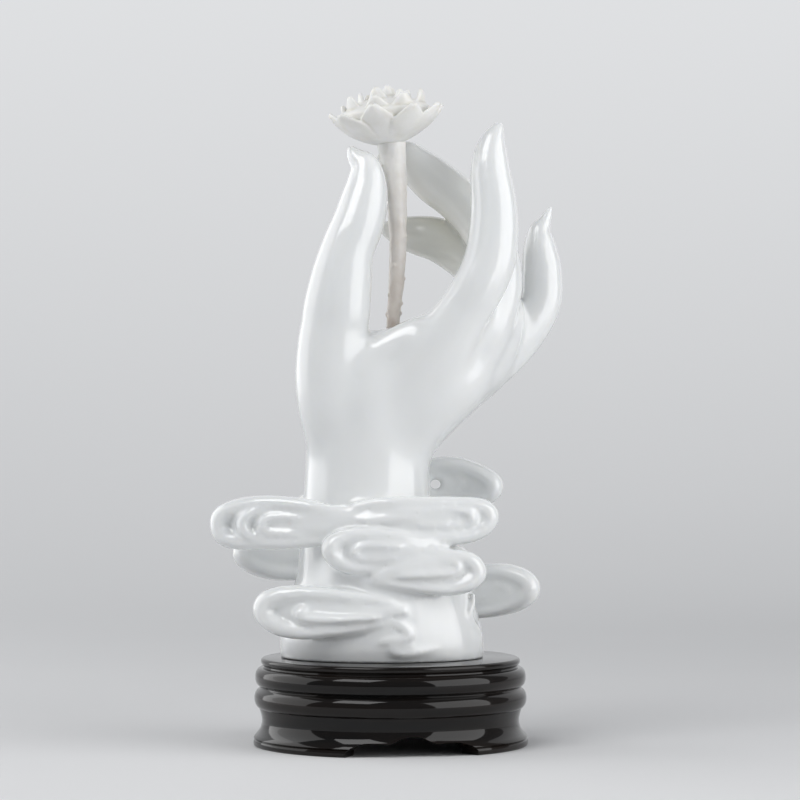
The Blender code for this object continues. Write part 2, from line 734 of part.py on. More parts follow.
def add_clouds(bm):
    """All scrolls with their webs, the bands round the sides and the raised lines of the foot."""
    fronts = (UPPER_LEFT, UPPER_RIGHT, MIDDLE_LEFT, MIDDLE_RIGHT, LOWER_LEFT)
    backs = (BACK_RIGHT_LOW, BACK_RIGHT_HIGH, BACK_LEFT_MIDDLE)
    copies = tuple(back_copy(*copied) for copied in BACK_COPIES)
    for cloud in fronts + backs + copies:
        for band in cloud["bands"]:
            sweep(bm, band_stations(cloud, band), sides=BAND_SIDES)
        for ridge in cloud["ridges"]:
            sweep(bm, ridge_stations(cloud, ridge), sides=BAND_SIDES)
        sweep(bm, web_stations(cloud))
    for band in SIDE_BANDS:
        sweep(bm, side_stations(*band), sides=BAND_SIDES, flat=(0, 0, 1))
    for line in FOOT_LINES:
        sweep(bm, foot_line_stations(line), sides=BAND_SIDES)


def cut_seat(hand):
    """Cuts the foot flat at height 0."""
    low = SLEEVE[0][2] * 2
    span = 4 * SLEEVE[1][3]
    bm = bmesh.new()
    bmesh.ops.create_cube(bm, size=1.0)
    bmesh.ops.scale(bm, vec=Vector((span, span, -low)) * MM, verts=bm.verts)
    bmesh.ops.translate(bm, vec=(0, 0, low / 2 * MM), verts=bm.verts)
    cut(hand, new_object("seat_cutter", bm))


def cut_hole(hand, face, x, height, half_length, half_height):
    """Oval hole through one cloud, clear of the wrist."""
    bm = bmesh.new()
    rings = []
    for y in (face * HOLE_NEAR, face * HOLE_FAR):
        ring = []
        for k in range(HOLE_SIDES):
            turn = 2 * math.pi * k / HOLE_SIDES
            at = (x + half_length * math.cos(turn), y, height + half_height * math.sin(turn))
            ring.append(bm.verts.new(Vector(at) * MM))
        rings.append(ring)
    bm.faces.new(rings[0])
    bm.faces.new(tuple(reversed(rings[1])))
    for k in range(HOLE_SIDES):
        n = (k + 1) % HOLE_SIDES
        bm.faces.new((rings[0][k], rings[0][n], rings[1][n], rings[1][k]))
    bmesh.ops.recalc_face_normals(bm, faces=bm.faces)
    cut(hand, new_object("hole_cutter", bm))


def cut_vent(hand):
    """Tapered vent bore up the middle of the foot."""
    bm = bmesh.new()
    radius = VENT_RADIUS * MM
    top_radius = VENT_TOP_RADIUS * MM
    depth = (VENT_DEPTH + VENT_OVERCUT) * MM
    bmesh.ops.create_cone(
        bm, cap_ends=True, segments=VENT_SIDES, radius1=radius, radius2=top_radius, depth=depth
    )
    middle = Vector((SLEEVE[0][0], SLEEVE[0][1], (VENT_DEPTH - VENT_OVERCUT) / 2))
    bmesh.ops.translate(bm, vec=middle * MM, verts=bm.verts)
    cut(hand, new_object("vent_cutter", bm))


def make_hand(material):
    """The porcelain: palm lump first, then digits, clouds and foot fused on."""
    digits = (THUMB, INDEX, MIDDLE, RING, LITTLE)
    bm = bmesh.new()
    for shape in (PALM, WEB, THENAR, KNUCKLES, HEEL, FOLD, BACK):
        sweep(bm, shape)
    for digit in digits:
        sweep(bm, digit[:LUMP_STATION_COUNT])
    lump = new_object("palm_lump", bm)
    fuse(lump, LUMP_VOXEL, LUMP_SMOOTHING_COUNT)

    bm = bmesh.new()
    bm.from_mesh(lump.data)
    bpy.data.objects.remove(lump, do_unlink=True)
    for digit in digits:
        sweep(bm, tapered(digit[ROOT_STATION:]))
    sweep(bm, SLEEVE)
    add_clouds(bm)
    hand = new_object("porcelain_hand", bm, material)
    fuse(hand, SKIN_VOXEL, SKIN_SMOOTHING_COUNT)
    calm_joins(hand)
    thin_out(hand, PORCELAIN_TRIANGLE_COUNT)
    cut_seat(hand)
    for hole in HOLES:
        cut_hole(hand, *hole)
    cut_vent(hand)
    return hand


def stem_stations(extra=0.0, overlap=0.0):
    """Stem of the lotus from its socket up to the flower, bowed to the right of the view."""
    foot = WEB_CROWN - SOCKET_DEPTH
    last = len(STEM_RADII) - 1
    stations = []
    for i, radius in enumerate(STEM_RADII):
        x = STEM_X + STEM_BOW * math.sin(math.pi * i / last)
        z = foot + STEM_LENGTH * i / last
        if i == 0:
            z -= overlap
        stations.append((x, STEM_Y, z, radius + extra, radius + extra))
    return stations


def cut_socket(hand):
    """Socket in the web that the stem's foot stands in."""
    bm = bmesh.new()
    sweep(bm, stem_stations(SOCKET_CLEARANCE, SOCKET_CLEARANCE), steps=1, sides=STEM_SIDES)
    cut(hand, new_object("socket_cutter", bm))


def add_nodules(bm):
    """Small round knots on the stem."""
    run = smooth_run(stem_stations(), 20)
    for share, heading, radius in NODULES:
        x, y, z, across, deep = run[round(share * (len(run) - 1))]
        out = across * (1 - NODULE_SINK)
        turn = math.radians(heading)
        spot = Vector((x + out * math.cos(turn), y + out * math.sin(turn), z)) * MM
        bmesh.ops.create_icosphere(bm, subdivisions=2, radius=radius * MM, matrix=Matrix.Translation(spot))


def petal_point(row, t, u, sway):
    """A place on a petal that points along +X: t runs from root to tip, u across it from edge to edge."""
    root, belly, tip, half_width = row
    radius = (1 - t) ** 2 * root[0] + 2 * t * (1 - t) * belly[0] + t * t * (tip[0] + sway)
    height = (1 - t) ** 2 * root[1] + 2 * t * (1 - t) * belly[1] + t * t * (tip[1] - sway)
    if t < PETAL_WIDEST:
        swell = math.sin(math.pi / 2 * t / PETAL_WIDEST)
        half = half_width * (PETAL_ROOT_SHARE + (1 - PETAL_ROOT_SHARE) * swell)
    else:
        past = (t - PETAL_WIDEST) / (1 - PETAL_WIDEST)
        half = half_width * max(1 - past ** PETAL_POINT_POWER, PETAL_TIP_SHARE)
    turn = u * half / max(radius, half * PETAL_WRAP_SHARE)
    radius += PETAL_KEEL * (1 - u * u) * t
    height += PETAL_LIFT_SHARE * half_width * u * u * t
    return Vector((radius * math.cos(turn), radius * math.sin(turn), height)) * MM


def add_petal(bm, row, heading, sway):
    """The open sheet of one petal."""
    along, across = PETAL_STEPS
    turn = Matrix.Rotation(heading, 3, "Z")
    sheet = []
    for i in range(along + 1):
        line = []
        for j in range(across + 1):
            line.append(bm.verts.new(turn @ petal_point(row, i / along, 2 * j / across - 1, sway)))
        sheet.append(line)
    for i in range(along):
        for j in range(across):
            bm.faces.new((sheet[i][j], sheet[i + 1][j], sheet[i + 1][j + 1], sheet[i][j + 1]))


def make_petals():
    """All petals round the Z axis, with their thickness."""
    bm = bmesh.new()
    for row_number, (count, first, root, belly, tip, half_width) in enumerate(PETAL_ROWS):
        for i in range(count):
            sway = PETAL_SWAY * math.sin(PETAL_SWAY_STEP * i + row_number)
            wander = PETAL_TURN_DEGREES * math.sin(PETAL_TURN_STEP * i)
            heading = math.radians(first + 360 * i / count + wander)
            add_petal(bm, (root, belly, tip, half_width), heading, sway)
    petals = new_object("petals", bm)
    wall = petals.modifiers.new("wall", "SOLIDIFY")
    wall.thickness = PETAL_THICKNESS * MM
    wall.offset = -1
    apply_modifiers(petals)
    return petals


def make_lotus(material):
    """Flower and stem, hand formed in one piece."""
    petals = make_petals()
    bm = bmesh.new()
    bm.from_mesh(petals.data)
    bpy.data.objects.remove(petals, do_unlink=True)
    revolve(bm, tuple(reversed(HEART_LINE)), HEART_SIDES)
    x, y, z = stem_stations()[-1][:3]
    tilt = Matrix.Rotation(-math.radians(BLOOM_TILT_DEGREES), 3, "Y")
    bmesh.ops.rotate(bm, cent=(0, 0, 0), matrix=tilt, verts=bm.verts)
    bmesh.ops.translate(bm, vec=Vector((x - BLOOM_SHIFT, y, z)) * MM, verts=bm.verts)
    sweep(bm, stem_stations(), sides=STEM_SIDES)
    add_nodules(bm)
    lotus = new_object("lotus", bm, material)
    fuse(lotus, LOTUS_VOXEL, LOTUS_SMOOTHING_COUNT)
    thin_out(lotus, LOTUS_TRIANGLE_COUNT)
    return lotus


def round_moulding(radius, high, low):
    """Half round line from height high to height low that swells out to radius."""
    line = []
    for i in range(ROUND_STEPS + 1):
        a = math.pi * i / ROUND_STEPS
        out = radius - ROUND_SWELL + ROUND_SWELL * math.sin(a)
        line.append((out, (high + low) / 2 + (high - low) / 2 * math.cos(a)))
    return line


def stand_line():
    """Outer line of the turned stand from its top edge down, as radius and height."""
    line = [(STAND_TOP_RADIUS + out, STAND_HEIGHT - down) for out, down in TOP_EDGE]
    upper_high = STAND_HEIGHT - TOP_EDGE_HEIGHT
    lower_low = STAND_BULGE_HEIGHT - LOWER_ROUND_DROP
    middle = (upper_high + lower_low) / 2
    line += round_moulding(STAND_BULGE_RADIUS, upper_high, middle + GROOVE_HEIGHT / 2)
    line += round_moulding(STAND_BULGE_RADIUS + LOWER_ROUND_INSET, middle - GROOVE_HEIGHT / 2, lower_low)
    line.append((STAND_WAIST_RADIUS + WAIST_UP[0], STAND_WAIST_HEIGHT + WAIST_UP[1]))
    line.append((STAND_WAIST_RADIUS, STAND_WAIST_HEIGHT))
    line.append((STAND_WAIST_RADIUS + WAIST_DOWN[0], STAND_WAIST_HEIGHT - WAIST_DOWN[1]))
    line += [(STAND_FLARE_RADIUS + out, STAND_LIP_HEIGHT + up) for out, up in LIP]
    line.append((STAND_FLARE_RADIUS, LIP_EDGE))
    line.append((STAND_FLARE_RADIUS - LIP_EDGE, 0.0))
    return line


def gap_cutter(middle, near, far):
    """Curved block below the scalloped line of a gap, from radius near to radius far."""
    half = math.radians(FOOT_GAP_DEGREES / 2)
    rising = (
        (-1.0, FOOT_GAP_EDGE),
        (-0.84, FOOT_GAP_SHOULDER * FOOT_GAP_SIDE_SHARE),
        (-0.62, FOOT_GAP_SHOULDER),
        (-0.36, FOOT_GAP_SHOULDER - FOOT_GAP_DIP),
        (-0.2, FOOT_GAP_PEAK - FOOT_GAP_CREST),
    )
    falling = tuple((-share, height) for share, height in reversed(rising))
    bm = bmesh.new()
    columns = []
    for share, height in rising + ((0.0, FOOT_GAP_PEAK),) + falling:
        a = middle + half * share
        column = []
        for radius, z in ((near, -FOOT_GAP_EDGE), (far, -FOOT_GAP_EDGE), (far, height), (near, height)):
            column.append(bm.verts.new(Vector((radius * math.cos(a), radius * math.sin(a), z)) * MM))
        columns.append(column)
    for left, right in zip(columns, columns[1:]):
        for k in range(4):
            n = (k + 1) % 4
            bm.faces.new((left[k], right[k], right[n], left[n]))
    bm.faces.new(columns[0])
    bm.faces.new(tuple(reversed(columns[-1])))
    bmesh.ops.recalc_face_normals(bm, faces=bm.faces)
    return new_object("gap_cutter", bm)


def make_stand(material):
    """Turned stand with a recess below and three scalloped gaps that leave three feet."""
    inner = STAND_FLARE_RADIUS - FOOT_RING_WALL
    line = [(0.0, STAND_HEIGHT)] + stand_line()
    line.append((inner, 0.0))
    line.append((inner - RECESS_DRAFT, FOOT_RECESS_DEPTH - RECESS_CORNER[1]))
    line.append((inner - RECESS_CORNER[0], FOOT_RECESS_DEPTH))
    line.append((0.0, FOOT_RECESS_DEPTH))
    bm = bmesh.new()
    revolve(bm, line, STAND_SIDES)
    stand = new_object("wooden_stand", bm, material)
    for i in range(FOOT_COUNT):
        middle = math.radians(FOOT_GAP_MIDDLE_DEGREES + 360 * i / FOOT_COUNT)
        cut(stand, gap_cutter(middle, inner - FOOT_GAP_OVERCUT, STAND_FLARE_RADIUS + FOOT_GAP_OVERCUT))
    return stand


def move(thing, x, y, z):
    """Moves an object's points."""
    for vert in thing.data.vertices:
        vert.co += Vector((x, y, z))


def centre_over_origin(things):
    """Moves the whole object so that its box stands over the origin."""
    corners = [vert.co for thing in things for vert in thing.data.vertices]
    middle_x = (min(c.x for c in corners) + max(c.x for c in corners)) / 2
    middle_y = (min(c.y for c in corners) + max(c.y for c in corners)) / 2
    for thing in things:
        move(thing, -middle_x, -middle_y, 0)


def main():
    clear_scene()
    porcelain = finish("white porcelain", (0.86, 0.87, 0.86), 0.08)
    clay = finish("cream lotus porcelain", (0.80, 0.78, 0.70), 0.3)
    lacquer = finish("black lacquered wood", (0.012, 0.010, 0.010), 0.1)
    stand = make_stand(lacquer)
    hand = make_hand(porcelain)
    lotus = make_lotus(clay)
    cut_socket(hand)
    for thing in (hand, lotus):
        move(thing, 0, 0, (STAND_HEIGHT + SEAT_GAP) * MM)
    centre_over_origin((stand, hand, lotus))
    for thing in (hand, lotus, stand):
        thing.data.shade_smooth()
    stand.data.set_sharp_from_angle(angle=math.radians(35))


main()
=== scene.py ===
import math

import bmesh
import bpy
import numpy as np
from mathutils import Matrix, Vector, noise


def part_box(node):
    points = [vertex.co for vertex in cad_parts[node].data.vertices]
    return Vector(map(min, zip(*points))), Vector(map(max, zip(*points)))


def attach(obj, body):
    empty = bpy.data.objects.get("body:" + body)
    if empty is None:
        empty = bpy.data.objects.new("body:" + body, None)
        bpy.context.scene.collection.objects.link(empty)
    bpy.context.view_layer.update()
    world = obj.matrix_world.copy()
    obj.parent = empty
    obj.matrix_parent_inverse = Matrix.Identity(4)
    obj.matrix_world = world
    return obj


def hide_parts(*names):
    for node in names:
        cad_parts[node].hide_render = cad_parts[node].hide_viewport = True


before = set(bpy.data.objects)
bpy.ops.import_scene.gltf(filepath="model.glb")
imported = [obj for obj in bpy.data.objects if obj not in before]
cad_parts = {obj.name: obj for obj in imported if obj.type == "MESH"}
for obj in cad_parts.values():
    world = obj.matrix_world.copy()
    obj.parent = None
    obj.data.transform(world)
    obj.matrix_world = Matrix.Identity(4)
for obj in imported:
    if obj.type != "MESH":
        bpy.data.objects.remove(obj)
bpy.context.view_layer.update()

MM = 0.001
stand_low, stand_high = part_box("wooden_stand")
hand_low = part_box("porcelain_hand")[0]
AXIS = Vector(((stand_low.x + stand_high.x) / 2, (stand_low.y + stand_high.y) / 2, 0))
SEAT = hand_low.z / MM

# Fineness of the fused skins
LUMP_VOXEL = 1.4
SKIN_VOXEL = 1.22
LUMP_SMOOTHING = 90
SKIN_SMOOTHING = 2
RING_SIDES = 32
SLEEVE_SIDES = 48
# Stations of a digit that take part in the palm's lump, and the one at which the digit itself starts
LUMP_STATIONS = 5
ROOT_STATION = 2
# How much of its full section a digit has where it leaves the lump
ROOT_SHARES = (0.55, 0.86)
# The joins of the digits are evened between these heights, fading out at both ends
CALM_HEIGHTS = (74.0, 92.0, 160.0, 188.0)
CALM_SMOOTHING = 27
# Below this height only the wrist itself is evened: its middle, and half widths across and along the view
CALM_WRIST = (106.0, -11.5, 2.0, 33.5, 31.5)
CALM_WRIST_REACH = 1.12
CALM_WRIST_FADE = 0.1
# The scrolls and the foot are softened below these heights, fading out in between
SOFT_HEIGHTS = (96.0, 103.0)
SOFT_SMOOTHING = 6

# Digits: x, y, height, half width across the view, half width along it
THUMB = (
    (-18.5, -4, 94.0, 16.5, 14.5),
    (-25.0, -8, 112.0, 18.0, 16.5),
    (-29.0, -11, 131.0, 17.5, 16.5),
    (-28.5, -12, 150.5, 17.0, 15.0),
    (-26.0, -13, 164.5, 16.5, 14.0),
    (-23.5, -13, 181.5, 15.0, 13.0),
    (-20.5, -12, 196.0, 13.0, 12.0),
    (-15.5, -10.5, 208.5, 12.5, 11.5),
    (-12.5, -8.5, 220.0, 11.5, 10.5),
    (-11.5, -7, 229.5, 9.5, 8.5),
    (-13.0, -6, 236.5, 7.5, 7.0),
    (-17.0, -5.5, 241.0, 4.5, 4.5),
    (-19.0, -5.3, 244.0, 2.5, 2.5),
    (-20.5, -5.2, 245.5, 1.0, 1.0),
)
INDEX = (
    (-7.5, -8, 102.5, 15.5, 13.5),
    (7.0, -12, 124.0, 16.5, 13.5),
    (20.0, -15, 143.0, 16.0, 13.5),
    (30.0, -17, 158.5, 14.0, 12.5),
    (40.0, -18, 174.0, 12.5, 12.0),
    (47.0, -17, 189.0, 12.5, 12.0),
    (49.5, -15, 204.5, 12.0, 11.5),
    (49.5, -13, 218.5, 11.0, 10.5),
    (48.0, -11, 231.0, 10.0, 9.5),
    (48.0, -10, 241.0, 8.5, 8.0),
    (49.5, -9, 249.0, 6.0, 6.0),
    (51.5, -8.5, 254.0, 3.5, 3.5),
    (53.0, -8.2, 257.0, 1.5, 1.5),
)
MIDDLE = (
    (7.0, 0, 109.5, 13.5, 13.0),
    (24.0, 0, 129.0, 13.5, 12.5),
    (38.5, -1, 145.5, 13.5, 12.0),
    (48.5, 1, 163.5, 12.5, 12.0),
    (52.5, 5, 179.5, 11.5, 11.5),
    (50.0, 9, 196.0, 11.5, 11.0),
    (43.0, 13, 210.5, 11.5, 11.0),
    (32.5, 15, 221.5, 11.0, 10.5),
    (21.0, 16, 230.5, 11.0, 10.0),
    (13.0, 16.5, 238.0, 9.5, 9.0),
    (8.5, 17.5, 244.5, 6.5, 6.5),
    (6.0, 18.5, 248.0, 3.5, 3.5),
    (5.0, 19.0, 250.0, 1.0, 1.0),
)
RING = (
    (12.0, 12, 112.0, 12.5, 12.5),
    (31.5, 12, 129.0, 13.0, 12.0),
    (46.0, 13, 142.5, 12.5, 11.5),
    (54.5, 15, 158.0, 11.5, 11.0),
    (52.5, 21, 171.5, 11.5, 11.0),
    (45.0, 27, 185.0, 11.0, 10.5),
    (35.0, 29, 195.0, 11.0, 10.5),
    (24.0, 26, 202.0, 11.0, 10.0),
    (12.0, 21.5, 204.5, 9.5, 9.0),
    (3.5, 18.5, 206.0, 7.0, 7.0),
    (-2.0, 16.5, 207.5, 4.0, 4.0),
    (-5.5, 15.5, 209.5, 1.5, 1.5),
)
LITTLE = (
    (4.5, 18, 104.5, 11.5, 12.5),
    (19.5, 20, 115.0, 11.5, 12.0),
    (32.0, 21, 125.5, 11.5, 11.5),
    (45.0, 24, 136.0, 12.0, 11.5),
    (57.0, 27, 148.5, 12.0, 11.0),
    (68.0, 30, 161.0, 11.0, 10.5),
    (74.0, 32, 173.0, 10.5, 10.0),
    (74.5, 33, 187.0, 10.0, 9.5),
    (73.5, 33.5, 198.0, 8.5, 8.5),
    (73.5, 34, 206.5, 6.0, 6.0),
    (76.0, 34.5, 212.0, 3.5, 3.5),
    (78.0, 35, 216.5, 2.0, 2.0),
    (79.0, 35, 219.0, 1.0, 1.0),
)
PALM = (
    (-11.5, 2, 62.0, 32.0, 30.0),
    (-11.5, 2, 85.0, 30.5, 27.5),
    (-11.0, 2, 102.5, 30.0, 27.0),
    (-6.0, 3, 115.5, 30.0, 28.0),
    (3.5, 5, 128.0, 28.0, 29.0),
    (16.5, 7, 141.0, 23.0, 29.0),
    (31.5, 8, 150.5, 14.5, 25.0),
)
WEB = (
    (-22.0, -8, 128.0, 14.5, 11.5),
    (-9.0, -2, 142.5, 14.5, 11.5),
    (1.5, 0, 146.5, 13.0, 11.5),
    (14.0, -4, 150.5, 12.0, 11.5),
    (26.0, -10, 160.0, 10.5, 10.5),
)
THENAR = (
    (-15.5, -8, 98.0, 14.0, 16.5),
    (-12.0, -10, 112.0, 16.0, 17.5),
    (-8.0, -10.5, 126.0, 15.0, 17.0),
    (-3.0, -9, 139.0, 12.5, 14.5),
)
KNUCKLES = (
    (26.0, -12, 144.0, 13.0, 13.0),
    (38.0, 2, 144.5, 14.0, 13.0),
    (48.0, 14, 143.5, 14.0, 13.0),
    (57.0, 26, 146.0, 11.5, 11.0),
)
HEEL = (
    (-19.0, 14, 92.5, 12.5, 11.5),
    (-9.0, 19, 110.5, 14.5, 12.5),
    (4.5, 23, 125.0, 14.5, 12.5),
    (24.0, 25, 137.5, 13.0, 12.0),
    (46.5, 26, 148.5, 10.0, 10.0),
)
# Soft fold between the thumb and the index finger
FOLD = (
    (-23.0, -14, 130.0, 6.5, 8.0),
    (-14.0, -15.5, 138.5, 7.5, 8.5),
    (-4.0, -14.5, 147.5, 7.5, 8.5),
    (6.0, -13.5, 154.5, 7.0, 8.0),
    (16.0, -14.5, 160.0, 6.0, 7.5),
)
BACK = (
    (-2.0, 5, 98.0, 20.0, 25.0),
    (10.5, 7, 112.5, 17.5, 29.0),
    (18.0, 8, 120.5, 17.5, 31.0),
    (26.0, 9, 128.0, 17.5, 31.0),
    (33.5, 10, 135.0, 17.0, 29.0),
    (41.0, 11, 142.5, 14.5, 24.0),
)
SLEEVE = (
    (-4.5, 0, -8.0, 46.5, 38.0),
    (-4.5, 0, 3.0, 49.0, 40.5),
    (-4.0, 0, 9.0, 49.0, 41.0),
    (-4.5, 0, 27.5, 44.0, 39.5),
    (-5.5, 0, 42.0, 41.0, 37.5),
    (-8.5, 1, 56.5, 36.5, 34.0),
    (-11.0, 2, 72.0, 31.0, 30.0),
    (-11.5, 2, 86.0, 28.6, 26.2),
    (-11.5, 2, 102.0, 24.5, 22.0),
)

# Cloud scrolls. Each has the side of the wrist that it lies on (-1 front, 1 back), how far out its middle
# lies, its outer bands, its inner ridges and its web. The points of a band or a ridge are x, height and half
# width; those of a web are x, height and half height.
WRAP_CURVE = 0.0038
WRAP_MIDDLE = -8.0
BAND_DEPTH = 1.5
RIDGE_DEPTH = 2.15
BAND_SINK = 5.5
RIDGE_SINK = 4.5
RIDGE_END_SINK = 3.0
WEB_HALF_DEPTH = 4.0
WEB_SINK = 1.2
WEB_END_SINK = 3.0
UPPER_LEFT = dict(
    face=-1, reach=33,
    bands=(
        ((-10, 67, 1.2), (-19, 69, 2.2), (-29, 71.3, 3), (-42.5, 74, 3.5), (-60.5, 75, 3.5), (-72, 73, 4),
         (-80, 69, 4.75), (-82, 64, 4.75), (-79.5, 58.5, 4.75), (-72, 56, 4), (-60.5, 56, 3.5),
         (-47.5, 56, 3.25), (-33, 57, 2.75), (-21.5, 58.5, 2)),
    ),
    ridges=(
        ((-49.5, 72, 2), (-60.5, 71.5, 2.25), (-67.5, 69, 3.25), (-70.5, 64.5, 3.75), (-67.5, 59.5, 3.25),
         (-60.5, 58, 2.25), (-49.5, 58, 2)),
        ((-30, 65.5, 1), (-40, 67, 1.75), (-52, 68.5, 2.25), (-59, 67, 2.75), (-61, 64, 3),
         (-58.5, 61, 2.5), (-51, 60.5, 2.25), (-42.5, 60, 1.75), (-31, 58.5, 1)),
    ),
    web=((-79, 64.5, 6), (-70, 65, 8), (-60, 65.5, 9), (-45, 65.5, 9), (-30, 66, 8.5), (-10, 67, 6)),
)
UPPER_RIGHT = dict(
    face=-1, reach=34,
    bands=(
        ((-18, 73, 2), (-7, 75, 2.5), (4.5, 75.5, 2.75), (19, 75.5, 2.75), (33, 75, 3), (43.5, 73, 4),
         (47.5, 68.5, 4.5), (44.5, 63, 4.25), (36.5, 59.5, 4), (27, 58.5, 3.75), (16.5, 59, 3.25),
         (4.5, 61.5, 2.25), (-5, 64, 1.5)),
    ),
    ridges=(
        ((-12, 70.5, 1.25), (4.5, 71, 1.75), (19, 71.5, 1.75), (30.5, 71.5, 2), (37.5, 70, 2.75),
         (39, 67, 3), (34.5, 64.5, 2.25), (23.5, 64.5, 2), (11.5, 65, 1.75), (2, 66.5, 1)),
        ((-24, 67.5, 1), (-12, 67, 1.5), (2, 67.8, 1.75), (14, 68.2, 1.5), (26, 67.8, 1)),
    ),
    web=((-12, 69, 4), (5, 68.5, 8), (20, 68, 9), (35, 67.5, 8.5), (45, 68, 5.5)),
)
MIDDLE_LEFT = dict(
    face=-1, reach=39,
    bands=(
        ((30.5, 55.5, 1), (19, 57, 2), (4.5, 59.5, 2.5), (-9.5, 60.5, 3), (-21.5, 59, 3.75),
         (-28, 54.5, 4.75),
         (-25.5, 48.5, 4.25), (-18, 45, 3.75), (-7, 44.5, 2.75), (4.5, 45.5, 2.25), (16.5, 47, 1.5)),
    ),
    ridges=(
        ((19, 53.5, 1), (4.5, 54.5, 1.75), (-7, 55.5, 2), (-14.5, 54.5, 2.25), (-17, 51.5, 2.5),
         (-13.5, 49, 2), (-5, 49, 1.75), (7, 49.5, 1.5), (19, 50, 1)),
    ),
    web=((-25, 53, 5.5), (-17, 52, 8), (-5, 52, 8.5), (8, 52, 7.5), (22, 52, 4)),
)
MIDDLE_RIGHT = dict(
    face=-1, reach=41,
    bands=(
        ((4.5, 53.5, 1.5), (16.5, 52.5, 2), (28, 50.5, 3), (37.5, 48, 4), (41.5, 42, 4.5), (36.5, 37, 4.25),
         (27, 34.5, 3.5), (16.5, 35, 3), (4.5, 36.5, 2.5), (-7, 38, 2), (-14.5, 39.5, 1)),
    ),
    ridges=(
        ((-5, 40, 1.25), (7, 41, 1.75), (19, 41.5, 2), (27.5, 42, 2.25), (32.5, 44, 2.25), (30, 47.5, 2),
         (23.5, 48.5, 1.5), (14, 49, 1)),
    ),
    web=((-8, 40, 2.5), (5, 43, 6), (18, 44, 8), (30, 43, 8.5), (39, 42, 5.5)),
)
LOWER_LEFT = dict(
    face=-1, reach=41,
    bands=(
        ((14, 25.6, 0.9), (6, 26.7, 1.6), (-5, 29, 2.4), (-21.5, 31, 3.1), (-35.5, 32.5, 3.6),
         (-49.5, 32, 4.4),
         (-58.5, 28.5, 5), (-60, 23, 5), (-54, 17.5, 4.75), (-42.5, 14.5, 4), (-28.5, 15, 3.5),
         (-14.5, 16.5, 3), (0, 19, 2.25), (10, 21, 1.5), (17, 22, 0.8)),
    ),
    ridges=(
        ((-35, 25.6, 1.2), (-40, 25.5, 2.5), (-43, 23.3, 3.3), (-40, 21.2, 3.3), (-32, 20.5, 2.9),
         (-22, 20.6, 2.5), (-9, 21.4, 2), (6, 23, 1.2)),
    ),
    web=((-58, 24, 6), (-48, 24, 8.5), (-35, 23.5, 8), (-20, 23.5, 6), (-5, 24, 4), (8, 24, 2)),
)
BACK_RIGHT_LOW = dict(
    face=1, reach=37,
    bands=(
        ((8, 41, 1), (29.5, 39.5, 2.5), (41.5, 39.5, 3.25), (54, 40, 4.25), (64, 37, 5), (68, 32, 5.25),
         (64, 26.5, 5), (54, 22.5, 4.5), (44, 20.5, 4), (34, 19, 3.25), (14, 18, 1.5)),
    ),
    ridges=(
        ((32, 33, 1.5), (42, 33.5, 2), (52, 33.5, 2.5), (58, 31, 3), (54, 28, 2.5), (46, 27, 2.5),
         (34, 26.5, 1.5)),
    ),
    web=((25, 29, 6), (36, 29, 8), (48, 30, 10), (60, 31, 9), (68, 32, 5)),
)
BACK_RIGHT_HIGH = dict(
    face=1, reach=33,
    bands=(
        ((-16, 86, 1), (4.5, 89, 2.25), (17, 90.5, 3.75), (29.5, 92, 4.5), (41.5, 88.5, 4.75),
         (50, 82.5, 5.25), (47.5, 77, 4.5), (39, 75, 4), (27, 74.5, 3.5), (14.5, 74.5, 2.5), (-2, 75, 1.5)),
    ),
    ridges=(
        ((10, 84, 1), (22.5, 87, 1.5), (29, 87.5, 2.25), (34.5, 85.5, 3), (35.5, 82.5, 3), (30.5, 80, 2.5),
         (23.5, 77.5, 1.75), (10, 78, 1)),
    ),
    web=((0, 82, 5), (10, 82, 7), (25, 83, 9), (38, 83, 9.5), (48, 82, 6)),
)
BACK_LEFT_MIDDLE = dict(
    face=1, reach=35,
    bands=(
        ((-16, 56, 1), (-40, 56.5, 2.75), (-54.5, 58, 3.75), (-67, 55.5, 4.5), (-72.5, 49.5, 5),
         (-68, 43.5, 4.75), (-57, 39.5, 4.25), (-44.5, 38.5, 3.5), (-35, 39, 2.5), (-14, 39, 1.5)),
    ),
    ridges=(
        ((-26, 49, 1), (-44.5, 49.5, 1.5), (-55.5, 50.5, 2.25), (-61, 48.5, 2.75), (-56.5, 45.5, 2.25),
         (-44.5, 45, 1.5), (-26, 44, 1)),
    ),
    web=((-26, 48, 5), (-40, 48, 8), (-55, 48.5, 9.5), (-68, 50, 6)),
)


def mirrored(cloud, shift, rise, reach):
    """The same scroll turned to the back of the wrist, moved along it by shift and rise."""
    def moved(points):
        return tuple((shift - x, height + rise, half) for x, height, half in points)

    return dict(
        face=1, reach=reach, web=moved(cloud["web"]),
        bands=tuple(moved(band) for band in cloud["bands"]),
        ridges=tuple(moved(ridge) for ridge in cloud["ridges"]),
    )


CLOUDS = (
    UPPER_LEFT, UPPER_RIGHT, MIDDLE_LEFT, MIDDLE_RIGHT, LOWER_LEFT,
    BACK_RIGHT_LOW, BACK_RIGHT_HIGH, BACK_LEFT_MIDDLE,
    mirrored(UPPER_RIGHT, 4, 2, 34),
    mirrored(MIDDLE_RIGHT, -6, 14, 38),
    mirrored(LOWER_LEFT, -22, -4, 42),
)
# Bands that run round the sides of the wrist: height, half width, first and last heading in degrees
SIDE_BANDS = (
    (64, 4.0, 128, 232),
    (24, 4.5, 122, 236),
    (66, 3.8, -52, 50),
    (48, 4.0, -58, 56),
    (30, 3.8, -50, 52),
)
SIDE_WAVE = 3.0
SIDE_STATIONS = 9
SIDE_MIDDLE_X = -6.0
# Radii across and along the view at this height, and how much they grow below it
SIDE_RADII = (41.0, 35.0)
SIDE_RADII_HEIGHT = 40.0
SIDE_FLARE = 0.12
SIDE_END_SHARE = 0.45
